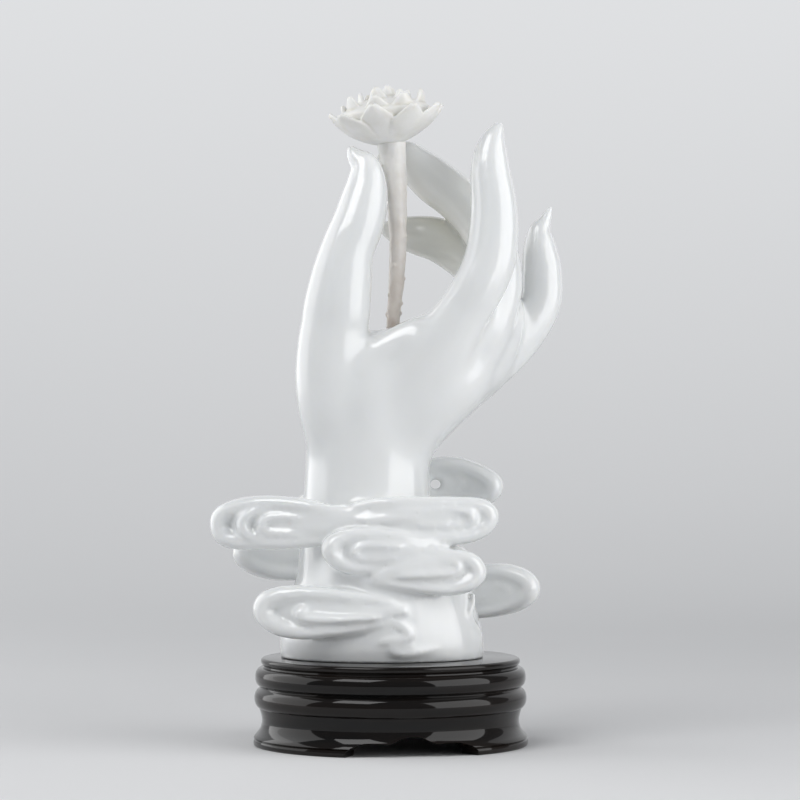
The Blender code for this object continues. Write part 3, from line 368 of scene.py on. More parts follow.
# Raised lines on the foot: x, height, half width
FOOT_LINES = (
    ((39.5, 32, 1.25), (39.5, 25.5, 1.5), (38, 22, 1.5), (40, 16, 1.75), (42.5, 10.5, 2), (40.5, 5, 2.25)),
    ((-1.0, 19.5, 0.8), (5.5, 16.8, 1.8), (8.8, 13.2, 2.3), (5.0, 10.6, 2.3), (-1.0, 10.2, 2.0),
     (-8.0, 9.0, 0.8)),
    ((14.0, 9.0, 0.8), (8.0, 7.6, 1.6), (0.5, 6.6, 2.0), (4.0, 4.4, 2.2), (12.0, 4.6, 2.2),
     (20.0, 6.0, 1.8), (30.0, 6.2, 0.8)),
)
# Oval that they follow: middle x, half width, half depth, and how near its ends they may come
FOOT_OVAL = (-4.5, 47.5, 40.5, 0.98)
# Through holes by the eyes of the upper scrolls: x, height, half length, half height
HOLES = ((-48.5, 64.6, 2.6, 1.5), (22.0, 82.3, 2.9, 2.6))
HOLE_CUTTER_LENGTH = 140.0

# Middle of the curled fingers, round which a warm, darker painted shade stands for their shade and the light
# through the thin porcelain, and how far that reaches
PAINTED_WARM_SHADE_MIDDLE = (22.0, 32.0, 208.0)
PAINTED_WARM_SHADE_REACH = (14.0, 46.0)

# Lotus: its stem stands in a socket in the web
STEM_FOOT = (0.4, 2.0, 154.5)
STEM_LENGTH = 93.5
STEM_RADII = (2.9, 3.3, 3.8, 4.1, 4.3, 4.6, 5.3, 6.2, 7.0)
STEM_BOW = 3.2
STEM_VOXEL = 0.5
STEM_SMOOTHING = 5
STEM_SIDES = 28
# Nodules on the stem: share of its length, heading in degrees, radius
NODULES = (
    (0.11, 180, 1.2), (0.12, 10, 1.2), (0.17, 350, 1.2), (0.21, 200, 1.0), (0.30, 20, 1.3),
    (0.36, 250, 1.1),
    (0.44, 100, 1.2), (0.52, 330, 1.0), (0.62, 150, 1.2), (0.70, 40, 1.0), (0.87, 195, 1.9),
    (0.92, 178, 1.8),
)
NODULE_SEAT = 0.93
# Uneven surface of the stem: scale per metre and height in millimetres
STEM_WAVES = ((160, 0.35), (420, 0.14))
BLOOM_TILT = 7.0
BLOOM_SHIFT = 1.0
# Rows of petals from the outside in: count, first heading, then root, belly and tip as (radius, height), and
# half width
PETAL_ROWS = (
    (10, 8, (5.0, 0.8), (19.5, 4.9), (27.0, 16.2), 8.8),
    (8, 30, (4.0, 2.0), (18.5, 6.5), (19.0, 22.3), 8.0),
    (6, 10, (3.0, 4.0), (12.5, 10.0), (9.5, 25.6), 6.0),
    (4, 40, (2.0, 6.0), (7.0, 13.0), (3.6, 26.6), 4.4),
)
PETAL_THICKNESS = 1.7
# Share of a petal's length at which it is widest, its width at the root, and how its point closes
PETAL_WIDEST = 0.68
PETAL_ROOT_SHARE = 0.35
PETAL_POINT_POWER = 1.45
PETAL_TIP_SHARE = 0.03
PETAL_WRAP_SHARE = 0.9
PETAL_KEEL = 0.9
PETAL_LIFT_SHARE = 0.05
# Uneven hand work: how far and how fast tips and headings wander from petal to petal
PETAL_SWAY = (1.3, 2.4)
PETAL_TURN = (4, 1.7)
PETAL_STEPS = (10, 8)
BLOOM_VOXEL = 0.55
BLOOM_SMOOTHING = 4
HEART_SIDES = 48
# Closed heart of the flower, which the petals grow out of
HEART_LINE = (
    (0.0, 0.0), (6.5, 0.2), (10.0, 1.6), (15.0, 4.3), (19.4, 7.8), (22.0, 11.8), (22.0, 14.8), (19.0, 17.6),
    (14.5, 19.6), (9.5, 21.2), (4.5, 22.4), (0.0, 22.6),
)

# Stand: outer line as radius and height, from the top edge down
STAND_SIDES = 160
STAND_LINE = (
    (60.9, 42.0), (61.7, 41.8), (62.3, 41.2), (62.5, 40.4), (62.3, 39.4), (61.6, 38.6), (61.3, 38.2),
    (61.5, 37.6),
    (62.8, 37.4), (64.0, 36.6), (64.9, 35.2), (65.2, 33.6), (65.2, 31.6), (64.8, 30.0), (63.9, 28.8),
    (62.9, 28.1),
    (63.2, 27.4), (64.3, 26.6), (65.2, 25.2), (65.6, 23.6), (65.6, 21.6), (65.1, 19.8), (64.2, 18.5),
    (63.3, 17.9),
    (62.5, 15.2), (62.0, 13.0), (62.0, 10.9), (62.7, 8.4), (63.7, 6.8), (64.8, 5.6), (65.8, 4.7),
    (66.2, 4.0), (65.7, 3.4), (66.2, 3.0), (66.4, 2.2), (66.4, 0.9), (66.1, 0.3), (65.6, 0.0),
)
RECESS_LINE = ((54.4, 0.0), (53.9, 0.6), (53.4, 9.5), (51.4, 11.0), (0.0, 11.0))
# Scalloped gaps between the feet: share of the half opening, height
GAP_LINE = (
    (-1.0, 2.4), (-0.92, 4.4), (-0.84, 5.3), (-0.73, 6.3), (-0.62, 6.6), (-0.48, 6.3), (-0.36, 6.1),
    (-0.28, 6.9),
    (-0.2, 8.3), (-0.1, 9.2), (0.0, 9.5), (0.1, 9.2), (0.2, 8.3), (0.28, 6.9), (0.36, 6.1), (0.48, 6.3),
    (0.62, 6.6), (0.73, 6.3), (0.84, 5.3), (0.92, 4.4), (1.0, 2.4),
)
GAP_MIDDLES = (-80, 40, 160)
GAP_HALF_DEGREES = 28.5
# Radii between which a gap is cut, and how far its cutter reaches below the floor
GAP_RADII = (49.0, 71.0)
GAP_OVERCUT = 2.0


def select_only(*things):
    bpy.ops.object.select_all(action="DESELECT")
    for thing in things:
        thing.select_set(True)
    bpy.context.view_layer.objects.active = things[-1]


def place(x, y, height, base=SEAT):
    """A point in millimetres about the stand's axis, as a place in the frame."""
    return AXIS + Vector((x, y, base + height)) * MM


def settle(thing):
    """Leaves a finished piece with its origin at the frame's own."""
    select_only(thing)
    bpy.ops.object.transform_apply(location=True, rotation=True, scale=True)


def apply_all(thing):
    select_only(thing)
    for step in list(thing.modifiers):
        bpy.ops.object.modifier_apply(modifier=step.name)


def smooth_run(stations, steps):
    """Cardinal curve through stations, each a tuple of numbers."""
    points = [stations[0], *stations, stations[-1]]
    run = []
    for i in range(1, len(points) - 2):
        a, b, c, d = points[i - 1:i + 3]
        for s in range(steps):
            t = s / steps
            run.append(tuple(
                0.5 * (2 * q + (r - p) * t + (2 * p - 5 * q + 4 * r - u) * t * t
                       + (3 * q - p - 3 * r + u) * t ** 3)
                for p, q, r, u in zip(a, b, c, d)
            ))
    run.append(tuple(stations[-1]))
    return run


def loft(name, stations, steps=4, sides=RING_SIDES):
    """Sets oval rings along a run and bridges them into one closed skin."""
    run = smooth_run(stations, steps)
    bpy.ops.object.select_all(action="DESELECT")
    for i, (x, y, height, half_width, half_depth) in enumerate(run):
        before, after = run[max(i - 1, 0)], run[min(i + 1, len(run) - 1)]
        tilt = math.atan2(after[0] - before[0], after[2] - before[2])
        spot = place(x, y, height)
        bpy.ops.mesh.primitive_circle_add(
            vertices=sides, radius=half_width * MM, location=spot, rotation=(0, tilt, 0),
            enter_editmode=(i == 0),
        )
        bpy.ops.transform.resize(value=(1, half_depth / half_width, 1), center_override=spot)
    bpy.ops.mesh.select_all(action="SELECT")
    bpy.ops.mesh.bridge_edge_loops()
    bpy.ops.mesh.select_all(action="SELECT")
    bpy.ops.mesh.fill_holes(sides=0)
    bpy.ops.mesh.normals_make_consistent(inside=False)
    bpy.ops.object.mode_set(mode="OBJECT")
    thing = bpy.context.object
    thing.name = name
    settle(thing)
    return thing


def tapered(stations):
    """The run with its first sections narrowed, so that it leaves the lump without a step."""
    start = tuple(
        (x, y, height, wide * share, deep * share)
        for (x, y, height, wide, deep), share in zip(stations, ROOT_SHARES)
    )
    return start + tuple(stations[len(start):])


def join(name, things):
    select_only(*things)
    bpy.ops.object.join()
    whole = bpy.context.object
    whole.name = name
    return whole


def fuse(thing, voxel, smoothing):
    """Makes overlapping closed shapes one skin and evens it."""
    select_only(thing)
    remesh = thing.modifiers.new("fuse", "REMESH")
    remesh.mode = "VOXEL"
    remesh.voxel_size = voxel * MM
    even = thing.modifiers.new("even", "SMOOTH")
    even.factor = 0.5
    even.iterations = smoothing
    apply_all(thing)


def calm_joins(body):
    """Evens the hand where its digits leave the palm; the clouds and the fingertips keep their shape."""
    low, full, still, top = CALM_HEIGHTS
    wrist_top, middle_x, middle_y, half_x, half_y = CALM_WRIST
    group = body.vertex_groups.new(name="joins")
    for vert in body.data.vertices:
        x, y, height = (vert.co - AXIS) / MM - Vector((0, 0, SEAT))
        weight = min((height - low) / (full - low), (top - height) / (top - still), 1)
        if height < wrist_top:
            away = math.hypot((x - middle_x) / half_x, (y - middle_y) / half_y)
            weight = min(weight, (CALM_WRIST_REACH - away) / CALM_WRIST_FADE)
        if weight > 0:
            group.add((vert.index,), weight, "REPLACE")
    even = body.modifiers.new("joins", "SMOOTH")
    even.factor = 0.5
    even.iterations = CALM_SMOOTHING
    even.vertex_group = group.name
    apply_all(body)
    body.vertex_groups.clear()


def soften_clouds(body):
    """Rounds the scrolls and the lines of the foot the way a thick glaze does."""
    full, top = SOFT_HEIGHTS
    group = body.vertex_groups.new(name="clouds")
    for vert in body.data.vertices:
        weight = min((top - (vert.co.z / MM - SEAT)) / (top - full), 1)
        if weight > 0:
            group.add((vert.index,), weight, "REPLACE")
    even = body.modifiers.new("clouds", "SMOOTH")
    even.factor = 0.5
    even.iterations = SOFT_SMOOTHING
    even.vertex_group = group.name
    apply_all(body)
    body.vertex_groups.clear()


def wrap_depth(x, face, reach):
    """Depth of a scroll's middle, which bends round the wrist."""
    return face * (reach - WRAP_CURVE * (x - WRAP_MIDDLE) ** 2)


def drawn_band(curve, points, stretch):
    """Adds one round band to a curve object; points are x, y, height, half width in millimetres."""
    run = smooth_run(points, 5)
    spline = curve.splines.new("POLY")
    spline.points.add(len(run) - 1)
    for point, (x, y, height, half_width) in zip(spline.points, run):
        spot = place(x, y, height)
        point.co = (spot.x, spot.y / stretch, spot.z, 1)
        point.radius = half_width


def curve_bands(name, runs, stretch):
    """Round bands along curves, stretched in depth and made a mesh."""
    curve = bpy.data.curves.new(name, "CURVE")
    curve.dimensions = "3D"
    curve.bevel_depth = MM
    curve.bevel_resolution = 6
    curve.use_fill_caps = True
    for points in runs:
        drawn_band(curve, points, stretch)
    thing = bpy.data.objects.new(name, curve)
    bpy.context.scene.collection.objects.link(thing)
    select_only(thing)
    thing.scale = (1, stretch, 1)
    bpy.ops.object.convert(target="MESH")
    thing = bpy.context.object
    settle(thing)
    return thing


def cloud_ridge(cloud, ridge):
    """Points of an inner line of a scroll in space: its ends run out in the web."""
    widest = max(half for x, height, half in ridge)
    points = []
    for i, (x, height, half) in enumerate(ridge):
        sunk = RIDGE_SINK * (1 - half / widest) ** 2
        if i in (0, len(ridge) - 1):
            sunk += RIDGE_END_SINK
        points.append((x, wrap_depth(x, cloud["face"], cloud["reach"] - sunk), height, half))
    return tuple(points)


def cloud_band(cloud, band):
    """Points of a scroll's band in space: its thin ends sink into the wrist."""
    widest = max(half for x, height, half in band)
    points = []
    for x, height, half in band:
        sunk = BAND_SINK * (1 - half / widest)
        points.append((x, wrap_depth(x, cloud["face"], cloud["reach"] - sunk), height, half))
    return tuple(points)


def cloud_web(cloud, number):
    """Thin body that closes the valleys between a scroll's bands."""
    widest = max(half for x, height, half in cloud["web"])
    stations = []
    for x, height, half in cloud["web"]:
        sunk = WEB_SINK + WEB_END_SINK * (1 - half / widest)
        y = wrap_depth(x, cloud["face"], cloud["reach"] - sunk)
        stations.append((x, y, height, half, WEB_HALF_DEPTH))
    return loft(f"web_{number}", stations, steps=3, sides=24)


def side_band(height, half, first, last):
    """Band round one side of the wrist, with a slow wave in its height."""
    points = []
    flare = (SIDE_RADII_HEIGHT - height) * SIDE_FLARE
    for i in range(SIDE_STATIONS):
        share = i / (SIDE_STATIONS - 1)
        heading = math.radians(first + (last - first) * share)
        x = SIDE_MIDDLE_X + (SIDE_RADII[0] + flare) * math.cos(heading)
        y = (SIDE_RADII[1] + flare) * math.sin(heading)
        taper = SIDE_END_SHARE + (1 - SIDE_END_SHARE) * math.sin(math.pi * share)
        points.append((x, y, height + SIDE_WAVE * math.sin(2 * math.pi * share), half * taper))
    return tuple(points)


def foot_line(points):
    """A raised line on the front of the foot."""
    middle_x, half_width, half_depth, end = FOOT_OVAL
    run = []
    for x, height, half in points:
        away = min(abs(x - middle_x) / half_width, end)
        run.append((x, -half_depth * math.sqrt(1 - away * away), height, half))
    return tuple(run)


def hole_cutter(x, height, half_length, half_height):
    bpy.ops.object.select_all(action="DESELECT")
    bpy.ops.mesh.primitive_cylinder_add(
        vertices=24, radius=half_length * MM, depth=HOLE_CUTTER_LENGTH * MM, location=place(x, 0, height),
        rotation=(math.pi / 2, 0, 0), enter_editmode=True,
    )
    bpy.ops.transform.resize(value=(1, 1, half_height / half_length), center_override=place(x, 0, height))
    bpy.ops.object.mode_set(mode="OBJECT")
    cutter = bpy.context.object
    settle(cutter)
    return cutter


def cut(thing, cutter):
    step = thing.modifiers.new("cut", "BOOLEAN")
    step.operation = "DIFFERENCE"
    step.solver = "EXACT"
    step.object = cutter
    apply_all(thing)
    bpy.data.objects.remove(cutter, do_unlink=True)


def shape_porcelain():
    """Palm lump first, heavily evened, then digits, foot and scrolls fused on."""
    lumps = [loft("lump", shape) for shape in (PALM, WEB, THENAR, KNUCKLES, HEEL, FOLD, BACK)]
    lumps += [loft("root", digit[:LUMP_STATIONS]) for digit in (THUMB, INDEX, MIDDLE, RING, LITTLE)]
    palm = join("palm", lumps)
    fuse(palm, LUMP_VOXEL, LUMP_SMOOTHING)
    parts = [palm]
    parts += [loft("digit", tapered(digit[ROOT_STATION:])) for digit in (THUMB, INDEX, MIDDLE, RING, LITTLE)]
    parts.append(loft("sleeve", SLEEVE, sides=SLEEVE_SIDES))
    webs = [cloud_web(cloud, number) for number, cloud in enumerate(CLOUDS)]
    for web in webs:
        low = min(v.co.x for v in web.data.vertices)
        high = max(v.co.x for v in web.data.vertices)
        for hole in HOLES:
            if low < place(hole[0], 0, 0).x < high:
                cut(web, hole_cutter(*hole))
    parts += webs
    runs = [cloud_band(cloud, band) for cloud in CLOUDS for band in cloud["bands"]]
    parts.append(curve_bands("cloud_bands", runs, BAND_DEPTH))
    runs = [cloud_ridge(cloud, ridge) for cloud in CLOUDS for ridge in cloud["ridges"]]
    parts.append(curve_bands("cloud_ridges", runs, RIDGE_DEPTH))
    runs = [side_band(*band) for band in SIDE_BANDS] + [foot_line(points) for points in FOOT_LINES]
    parts.append(curve_bands("side_bands", runs, 1))
    body = join("porcelain_body", parts)
    fuse(body, SKIN_VOXEL, SKIN_SMOOTHING)
    calm_joins(body)
    soften_clouds(body)
    return body


def trim_seat(body):
    """Cuts the foot flat where it stands on the wood."""
    select_only(body)
    bpy.ops.object.mode_set(mode="EDIT")
    bpy.ops.mesh.select_all(action="SELECT")
    bpy.ops.mesh.bisect(
        plane_co=place(0, 0, 0), plane_no=(0, 0, 1), use_fill=True, clear_inner=True, clear_outer=False
    )
    bpy.ops.object.mode_set(mode="OBJECT")


def shade(thing, angle=None):
    select_only(thing)
    if angle is None:
        bpy.ops.object.shade_smooth()
    else:
        bpy.ops.object.shade_smooth_by_angle(angle=math.radians(angle))


def stem_run():
    """Sections of the stem from its foot up: x, y, height and both half widths."""
    x0, y0, z0 = STEM_FOOT
    last = len(STEM_RADII) - 1
    return tuple(
        (x0 + STEM_BOW * math.sin(math.pi * i / last), y0, z0 + STEM_LENGTH * i / last, radius, radius)
        for i, radius in enumerate(STEM_RADII)
    )


def make_stem():
    """Hand rolled stem with small nodules, fused and evened."""
    stem = loft("lotus_stem", stem_run(), steps=5, sides=STEM_SIDES)
    bumps = []
    run = smooth_run(stem_run(), 20)
    for share, heading, radius in NODULES:
        x, y, height, across, deep = run[round(share * (len(run) - 1))]
        turn = math.radians(heading)
        out = across * NODULE_SEAT
        spot = place(x + out * math.cos(turn), y + out * math.sin(turn), height)
        bpy.ops.object.select_all(action="DESELECT")
        bpy.ops.mesh.primitive_ico_sphere_add(subdivisions=3, radius=radius * MM, location=spot)
        bump = bpy.context.object
        settle(bump)
        bumps.append(bump)
    whole = join("lotus_stem", [*bumps, stem])
    fuse(whole, STEM_VOXEL, STEM_SMOOTHING)
    for vert in whole.data.vertices:
        wave = sum(noise.noise(vert.co * scale) * size for scale, size in STEM_WAVES)
        vert.co += vert.normal * wave * MM
    return whole


def bloom_centre():
    x, y, height = stem_run()[-1][:3]
    return place(x - BLOOM_SHIFT, y, height)


def petal_point(row, t, u, sway):
    """Place on a petal: t runs from root to tip, u across it from edge to edge."""
    root, belly, tip, half_width = row
    radius = (1 - t) ** 2 * root[0] + 2 * t * (1 - t) * belly[0] + t * t * (tip[0] + sway)
    height = (1 - t) ** 2 * root[1] + 2 * t * (1 - t) * belly[1] + t * t * (tip[1] - sway)
    if t < PETAL_WIDEST:
        share = PETAL_ROOT_SHARE + (1 - PETAL_ROOT_SHARE) * math.sin(math.pi / 2 * t / PETAL_WIDEST)
    else:
        share = max(1 - ((t - PETAL_WIDEST) / (1 - PETAL_WIDEST)) ** PETAL_POINT_POWER, PETAL_TIP_SHARE)
    half = half_width * share
    turn = u * half / max(radius, half * PETAL_WRAP_SHARE)
    radius += PETAL_KEEL * (1 - u * u) * t
    lift = PETAL_LIFT_SHARE * half_width * u * u * t
    return Vector((radius * math.cos(turn), radius * math.sin(turn), height + lift)) * MM


def make_petal(number, row, sway):
    """One petal laid on a grid, given its thickness and rounded edges."""
    bpy.ops.object.select_all(action="DESELECT")
    along, across = PETAL_STEPS
    bpy.ops.mesh.primitive_grid_add(x_subdivisions=along, y_subdivisions=across, size=2, location=(0, 0, 0))
    petal = bpy.context.object
    petal.name = f"petal_{number}"
    for vert in petal.data.vertices:
        vert.co = petal_point(row, (vert.co.x + 1) / 2, vert.co.y, sway)
    wall = petal.modifiers.new("wall", "SOLIDIFY")
    wall.thickness = PETAL_THICKNESS * MM
    wall.offset = -1
    round_off = petal.modifiers.new("round", "SUBSURF")
    round_off.levels = 2
    round_off.render_levels = 2
    apply_all(petal)
    return petal


def make_bloom():
    """Four rows of cupped petals fused with the heart they grow from, tilted a little."""
    petals = []
    for row_number, (count, first, root, belly, tip, half_width) in enumerate(PETAL_ROWS):
        for i in range(count):
            sway = PETAL_SWAY[0] * math.sin(PETAL_SWAY[1] * i + row_number)
            petal = make_petal(row_number, (root, belly, tip, half_width), sway)
            wander = PETAL_TURN[0] * math.sin(PETAL_TURN[1] * i)
            petal.rotation_euler.z = math.radians(first + 360 * i / count + wander)
            settle(petal)
            petals.append(petal)
    heart = turned("heart", HEART_LINE, HEART_SIDES)
    bloom = join("lotus_bloom", [*petals, heart])
    fuse(bloom, BLOOM_VOXEL, BLOOM_SMOOTHING)
    bloom.rotation_euler.y = -math.radians(BLOOM_TILT)
    bloom.location = bloom_centre()
    settle(bloom)
    return bloom


def turned(name, line, sides):
    """Spins a line of (radius, height) points round the Z axis into a closed shape."""
    mesh = bpy.data.meshes.new(name)
    points = [(radius * MM, 0, height * MM) for radius, height in line]
    mesh.from_pydata(points, [(i, i + 1) for i in range(len(points) - 1)], [])
    thing = bpy.data.objects.new(name, mesh)
    bpy.context.scene.collection.objects.link(thing)
    select_only(thing)
    bpy.ops.object.mode_set(mode="EDIT")
    bpy.ops.mesh.select_all(action="SELECT")
    bpy.ops.mesh.spin(steps=sides, angle=2 * math.pi, center=(0, 0, 0), axis=(0, 0, 1))
    bpy.ops.mesh.select_all(action="SELECT")
    bpy.ops.mesh.remove_doubles(threshold=0.00001)
    bpy.ops.mesh.normals_make_consistent(inside=False)
    bpy.ops.object.mode_set(mode="OBJECT")
    return thing


def gap_cutter(middle):
    """Curved block under a scalloped line, through the wall of the foot ring."""
    bm = bmesh.new()
    inner, outer = GAP_RADII
    columns = []
    for share, height in GAP_LINE:
        turn = math.radians(middle + GAP_HALF_DEGREES * share)
        columns.append([
            bm.verts.new(Vector((radius * math.cos(turn), radius * math.sin(turn), z)) * MM)
            for radius, z in ((inner, -GAP_OVERCUT), (outer, -GAP_OVERCUT), (outer, height), (inner, height))
        ])
    for left, right in zip(columns, columns[1:]):
        for k in range(4):
            bm.faces.new((left[k], right[k], right[(k + 1) % 4], left[(k + 1) % 4]))
    bm.faces.new(columns[0])
    bm.faces.new(tuple(reversed(columns[-1])))
    bmesh.ops.recalc_face_normals(bm, faces=bm.faces)
    mesh = bpy.data.meshes.new("gap_cutter")
    bm.to_mesh(mesh)
    bm.free()
    cutter = bpy.data.objects.new("gap_cutter", mesh)
    bpy.context.scene.collection.objects.link(cutter)
    return cutter


def make_lotus():
    clay = finish_clay()
    for piece in (make_stem(), make_bloom()):
        shade(piece)
        mark_hollows(piece, "hollow", 0.035, 3)
        dress(piece, clay)
        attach(piece, "root")
        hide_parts("lotus")


def make_stand():
    """Turned stand: top edge, two round mouldings, a waist, a flared foot ring with scalloped gaps."""
    top_middle = (0.0, STAND_LINE[0][1])
    stand = turned("turned_stand", (top_middle, *STAND_LINE, *RECESS_LINE), STAND_SIDES)
    stand.location = AXIS
    for middle in GAP_MIDDLES:
        cutter = gap_cutter(middle)
        cutter.location = AXIS
        settle(cutter)
        settle(stand)
        cut(stand, cutter)
    shade(stand, 35)
    dress(stand, finish_lacquer())
    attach(stand, "root")
    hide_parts("wooden_stand")


def new_finish(name, colour, roughness, coat=0.0):
    """A glossy or satin material with its constant values on the shader itself."""
    material = bpy.data.materials.new(name)
    material.use_nodes = True
    shader = material.node_tree.nodes["Principled BSDF"]
    shader.inputs["Base Color"].default_value = (*colour, 1)
    shader.inputs["Roughness"].default_value = roughness
    shader.inputs["Coat Weight"].default_value = coat
    shader.inputs["Coat Roughness"].default_value = 0.06
    return material


def node(material, kind, **inputs):
    """Adds a node; inputs are its socket values by name, with _ for a blank."""
    made = material.node_tree.nodes.new(kind)
    for name, value in inputs.items():
        made.inputs[name.replace("_", " ")].default_value = value
    return made


def link(material, source, target):
    material.node_tree.links.new(source, target)


def object_noise(material, scale, detail, stretch=(1, 1, 1)):
    """Noise over the object's own coordinates, in a scale per metre."""
    place_node = node(material, "ShaderNodeTexCoord")
    mapping = node(material, "ShaderNodeMapping", Scale=stretch)
    texture = node(material, "ShaderNodeTexNoise", Scale=scale, Detail=detail)
    link(material, place_node.outputs["Object"], mapping.inputs["Vector"])
    link(material, mapping.outputs["Vector"], texture.inputs["Vector"])
    return texture.outputs["Fac"]


def ranged(material, source, low, high, out_low=0.0, out_high=1.0):
    """Maps a value from one range to another."""
    step = node(material, "ShaderNodeMapRange", From_Min=low, From_Max=high, To_Min=out_low, To_Max=out_high)
    link(material, source, step.inputs["Value"])
    return step.outputs["Result"]


def blended(material, factor, first, second):
    """Mix of two colours, each given as a tuple or as another node's output."""
    mix = material.node_tree.nodes.new("ShaderNodeMix")
    mix.data_type = "RGBA"
    link(material, factor, mix.inputs["Factor"])
    for name, value in (("A", first), ("B", second)):
        socket = next(i for i in mix.inputs if i.name == name and i.type == "RGBA")
        if isinstance(value, tuple):
            socket.default_value = (*value, 1)
        else:
            link(material, value, socket)
    return next(o for o in mix.outputs if o.type == "RGBA")


def attribute(material, name):
    reader = material.node_tree.nodes.new("ShaderNodeAttribute")
    reader.attribute_name = name
    return reader.outputs["Fac"]


def bumped(material, height, strength, distance):
    bump = node(material, "ShaderNodeBump", Strength=strength, Distance=distance)
    link(material, height, bump.inputs["Height"])
    link(material, bump.outputs["Normal"], material.node_tree.nodes["Principled BSDF"].inputs["Normal"])


def mark_hollows(thing, name, depth, evening):
    """Writes how hollow the skin is at each vertex, 0 to 1; depth is the sag that counts as 1."""
    mesh = thing.data
    count = len(mesh.vertices)
    spots = np.empty(count * 3)
    mesh.vertices.foreach_get("co", spots)
    spots = spots.reshape(-1, 3)
    normals = np.empty(count * 3)
    mesh.vertices.foreach_get("normal", normals)
    normals = normals.reshape(-1, 3)
    ends = np.empty(len(mesh.edges) * 2, dtype=np.int64)
    mesh.edges.foreach_get("vertices", ends)
    ends = ends.reshape(-1, 2)
    degree = np.bincount(ends.ravel(), minlength=count)

    def near_mean(values):
        total = np.zeros_like(values)
        np.add.at(total, ends[:, 0], values[ends[:, 1]])
        np.add.at(total, ends[:, 1], values[ends[:, 0]])
        return total / degree.reshape(-1, *[1] * (values.ndim - 1))

    hollow = ((near_mean(spots) - spots) * normals).sum(axis=1)
    for _ in range(evening):
        hollow = (hollow + near_mean(hollow)) / 2
    values = np.clip(hollow / (depth * MM), 0, 1)
    store = mesh.attributes.new(name, "FLOAT", "POINT")
    store.data.foreach_set("value", values.astype(np.float32))


def finish_porcelain():
    """Clear glaze over white clay: a little darker in the hollows, partly thicker glaze and partly painted
    shade, and a painted warm shade on the thin curled fingers for their shade and the light through them.
    """
    material = new_finish("white_glaze", (0.80, 0.81, 0.81), 0.2, 0.7)
    shader = material.node_tree.nodes["Principled BSDF"]
    cloudy = ranged(material, object_noise(material, 22, 3), 0.3, 0.7)
    body = blended(material, cloudy, (0.81, 0.82, 0.82), (0.78, 0.796, 0.80))
    # Painted warm shade: the colour is darkened and warmed round the middle of the curled fingers, for their
    # shade and the light through the thin porcelain
    spot = node(material, "ShaderNodeTexCoord")
    inner = node(material, "ShaderNodeVectorMath")
    inner.operation = "DISTANCE"
    link(material, spot.outputs["Object"], inner.inputs[0])
    inner.inputs[1].default_value = place(*PAINTED_WARM_SHADE_MIDDLE)
    painted_warm_shade = ranged(material, inner.outputs["Value"], PAINTED_WARM_SHADE_REACH[0] * MM, PAINTED_WARM_SHADE_REACH[1] * MM, 0.7, 0.0)
    body = blended(material, painted_warm_shade, body, (0.74, 0.73, 0.64))
    # Painted shade in the hollows, partly thicker glaze pooling there: the colour darkens with the hollow
    # measure
    pooled_glaze_and_shade = ranged(material, attribute(material, "hollow"), 0.0, 1.0, 0.0, 0.15)
    link(material, blended(material, pooled_glaze_and_shade, body, (0.60, 0.635, 0.62)), shader.inputs["Base Color"])
    uneven = ranged(material, object_noise(material, 60, 2), 0.3, 0.7, 0.17, 0.25)
    link(material, uneven, shader.inputs["Roughness"])
    shader.inputs["Coat Roughness"].default_value = 0.12
    shader.inputs["Subsurface Weight"].default_value = 0.12
    shader.inputs["Subsurface Radius"].default_value = (1.0, 0.9, 0.7)
    shader.inputs["Subsurface Scale"].default_value = 0.004
    bumped(material, object_noise(material, 45, 2), 0.12, 0.0012)
    return material


def finish_clay():
    """Satin cream porcelain: whiter in the flower, pinkish tan down the stem, mottled by hand work, and
    darker in the hollows, partly pooled glaze and partly painted shade.
    """
    material = new_finish("cream_porcelain", (0.78, 0.76, 0.70), 0.36, 0.15)
    shader = material.node_tree.nodes["Principled BSDF"]
    spot = node(material, "ShaderNodeTexCoord")
    split = node(material, "ShaderNodeSeparateXYZ")
    link(material, spot.outputs["Object"], split.inputs["Vector"])
    foot = (SEAT + STEM_FOOT[2]) * MM
    height = ranged(material, split.outputs["Z"], foot, foot + STEM_LENGTH * MM)
    mottle = ranged(material, object_noise(material, 140, 4), 0.35, 0.65)
    stem = blended(material, height, (0.62, 0.54, 0.48), (0.82, 0.812, 0.78))
    pale = blended(material, height, (0.72, 0.66, 0.60), (0.86, 0.857, 0.84))
    body = blended(material, mottle, stem, pale)
    # Painted shade in the hollows between petals and round the nodules, partly pooled glaze: the colour
    # darkens strongly with the hollow measure
    pooled_glaze_and_shade = ranged(material, attribute(material, "hollow"), 0.0, 1.0, 0.0, 0.7)
    link(material, blended(material, pooled_glaze_and_shade, body, (0.60, 0.58, 0.50)), shader.inputs["Base Color"])
    link(material, ranged(material, mottle, 0.0, 1.0, 0.30, 0.44), shader.inputs["Roughness"])
    shader.inputs["Subsurface Weight"].default_value = 0.15
    shader.inputs["Subsurface Radius"].default_value = (1.0, 0.85, 0.6)
    shader.inputs["Subsurface Scale"].default_value = 0.003
    bumped(material, object_noise(material, 500, 3), 0.25, 0.0004)
    return material


def finish_lacquer():
    """Deep black lacquer with a faint brown ground and fine turning lines."""
    material = new_finish("black_lacquer", (0.012, 0.010, 0.009), 0.14, 0.5)
    shader = material.node_tree.nodes["Principled BSDF"]
    shader.inputs["Specular IOR Level"].default_value = 0.05
    shader.inputs["Coat Roughness"].default_value = 0.035
    grain = ranged(material, object_noise(material, 30, 5, (0.35, 0.35, 3.0)), 0.35, 0.7)
    ground = blended(material, grain, (0.004, 0.004, 0.004), (0.012, 0.008, 0.006))
    link(material, ground, shader.inputs["Base Color"])
    link(material, ranged(material, grain, 0.0, 1.0, 0.11, 0.2), shader.inputs["Roughness"])
    bumped(material, object_noise(material, 60, 2, (0.05, 0.05, 14.0)), 0.06, 0.0004)
    return material


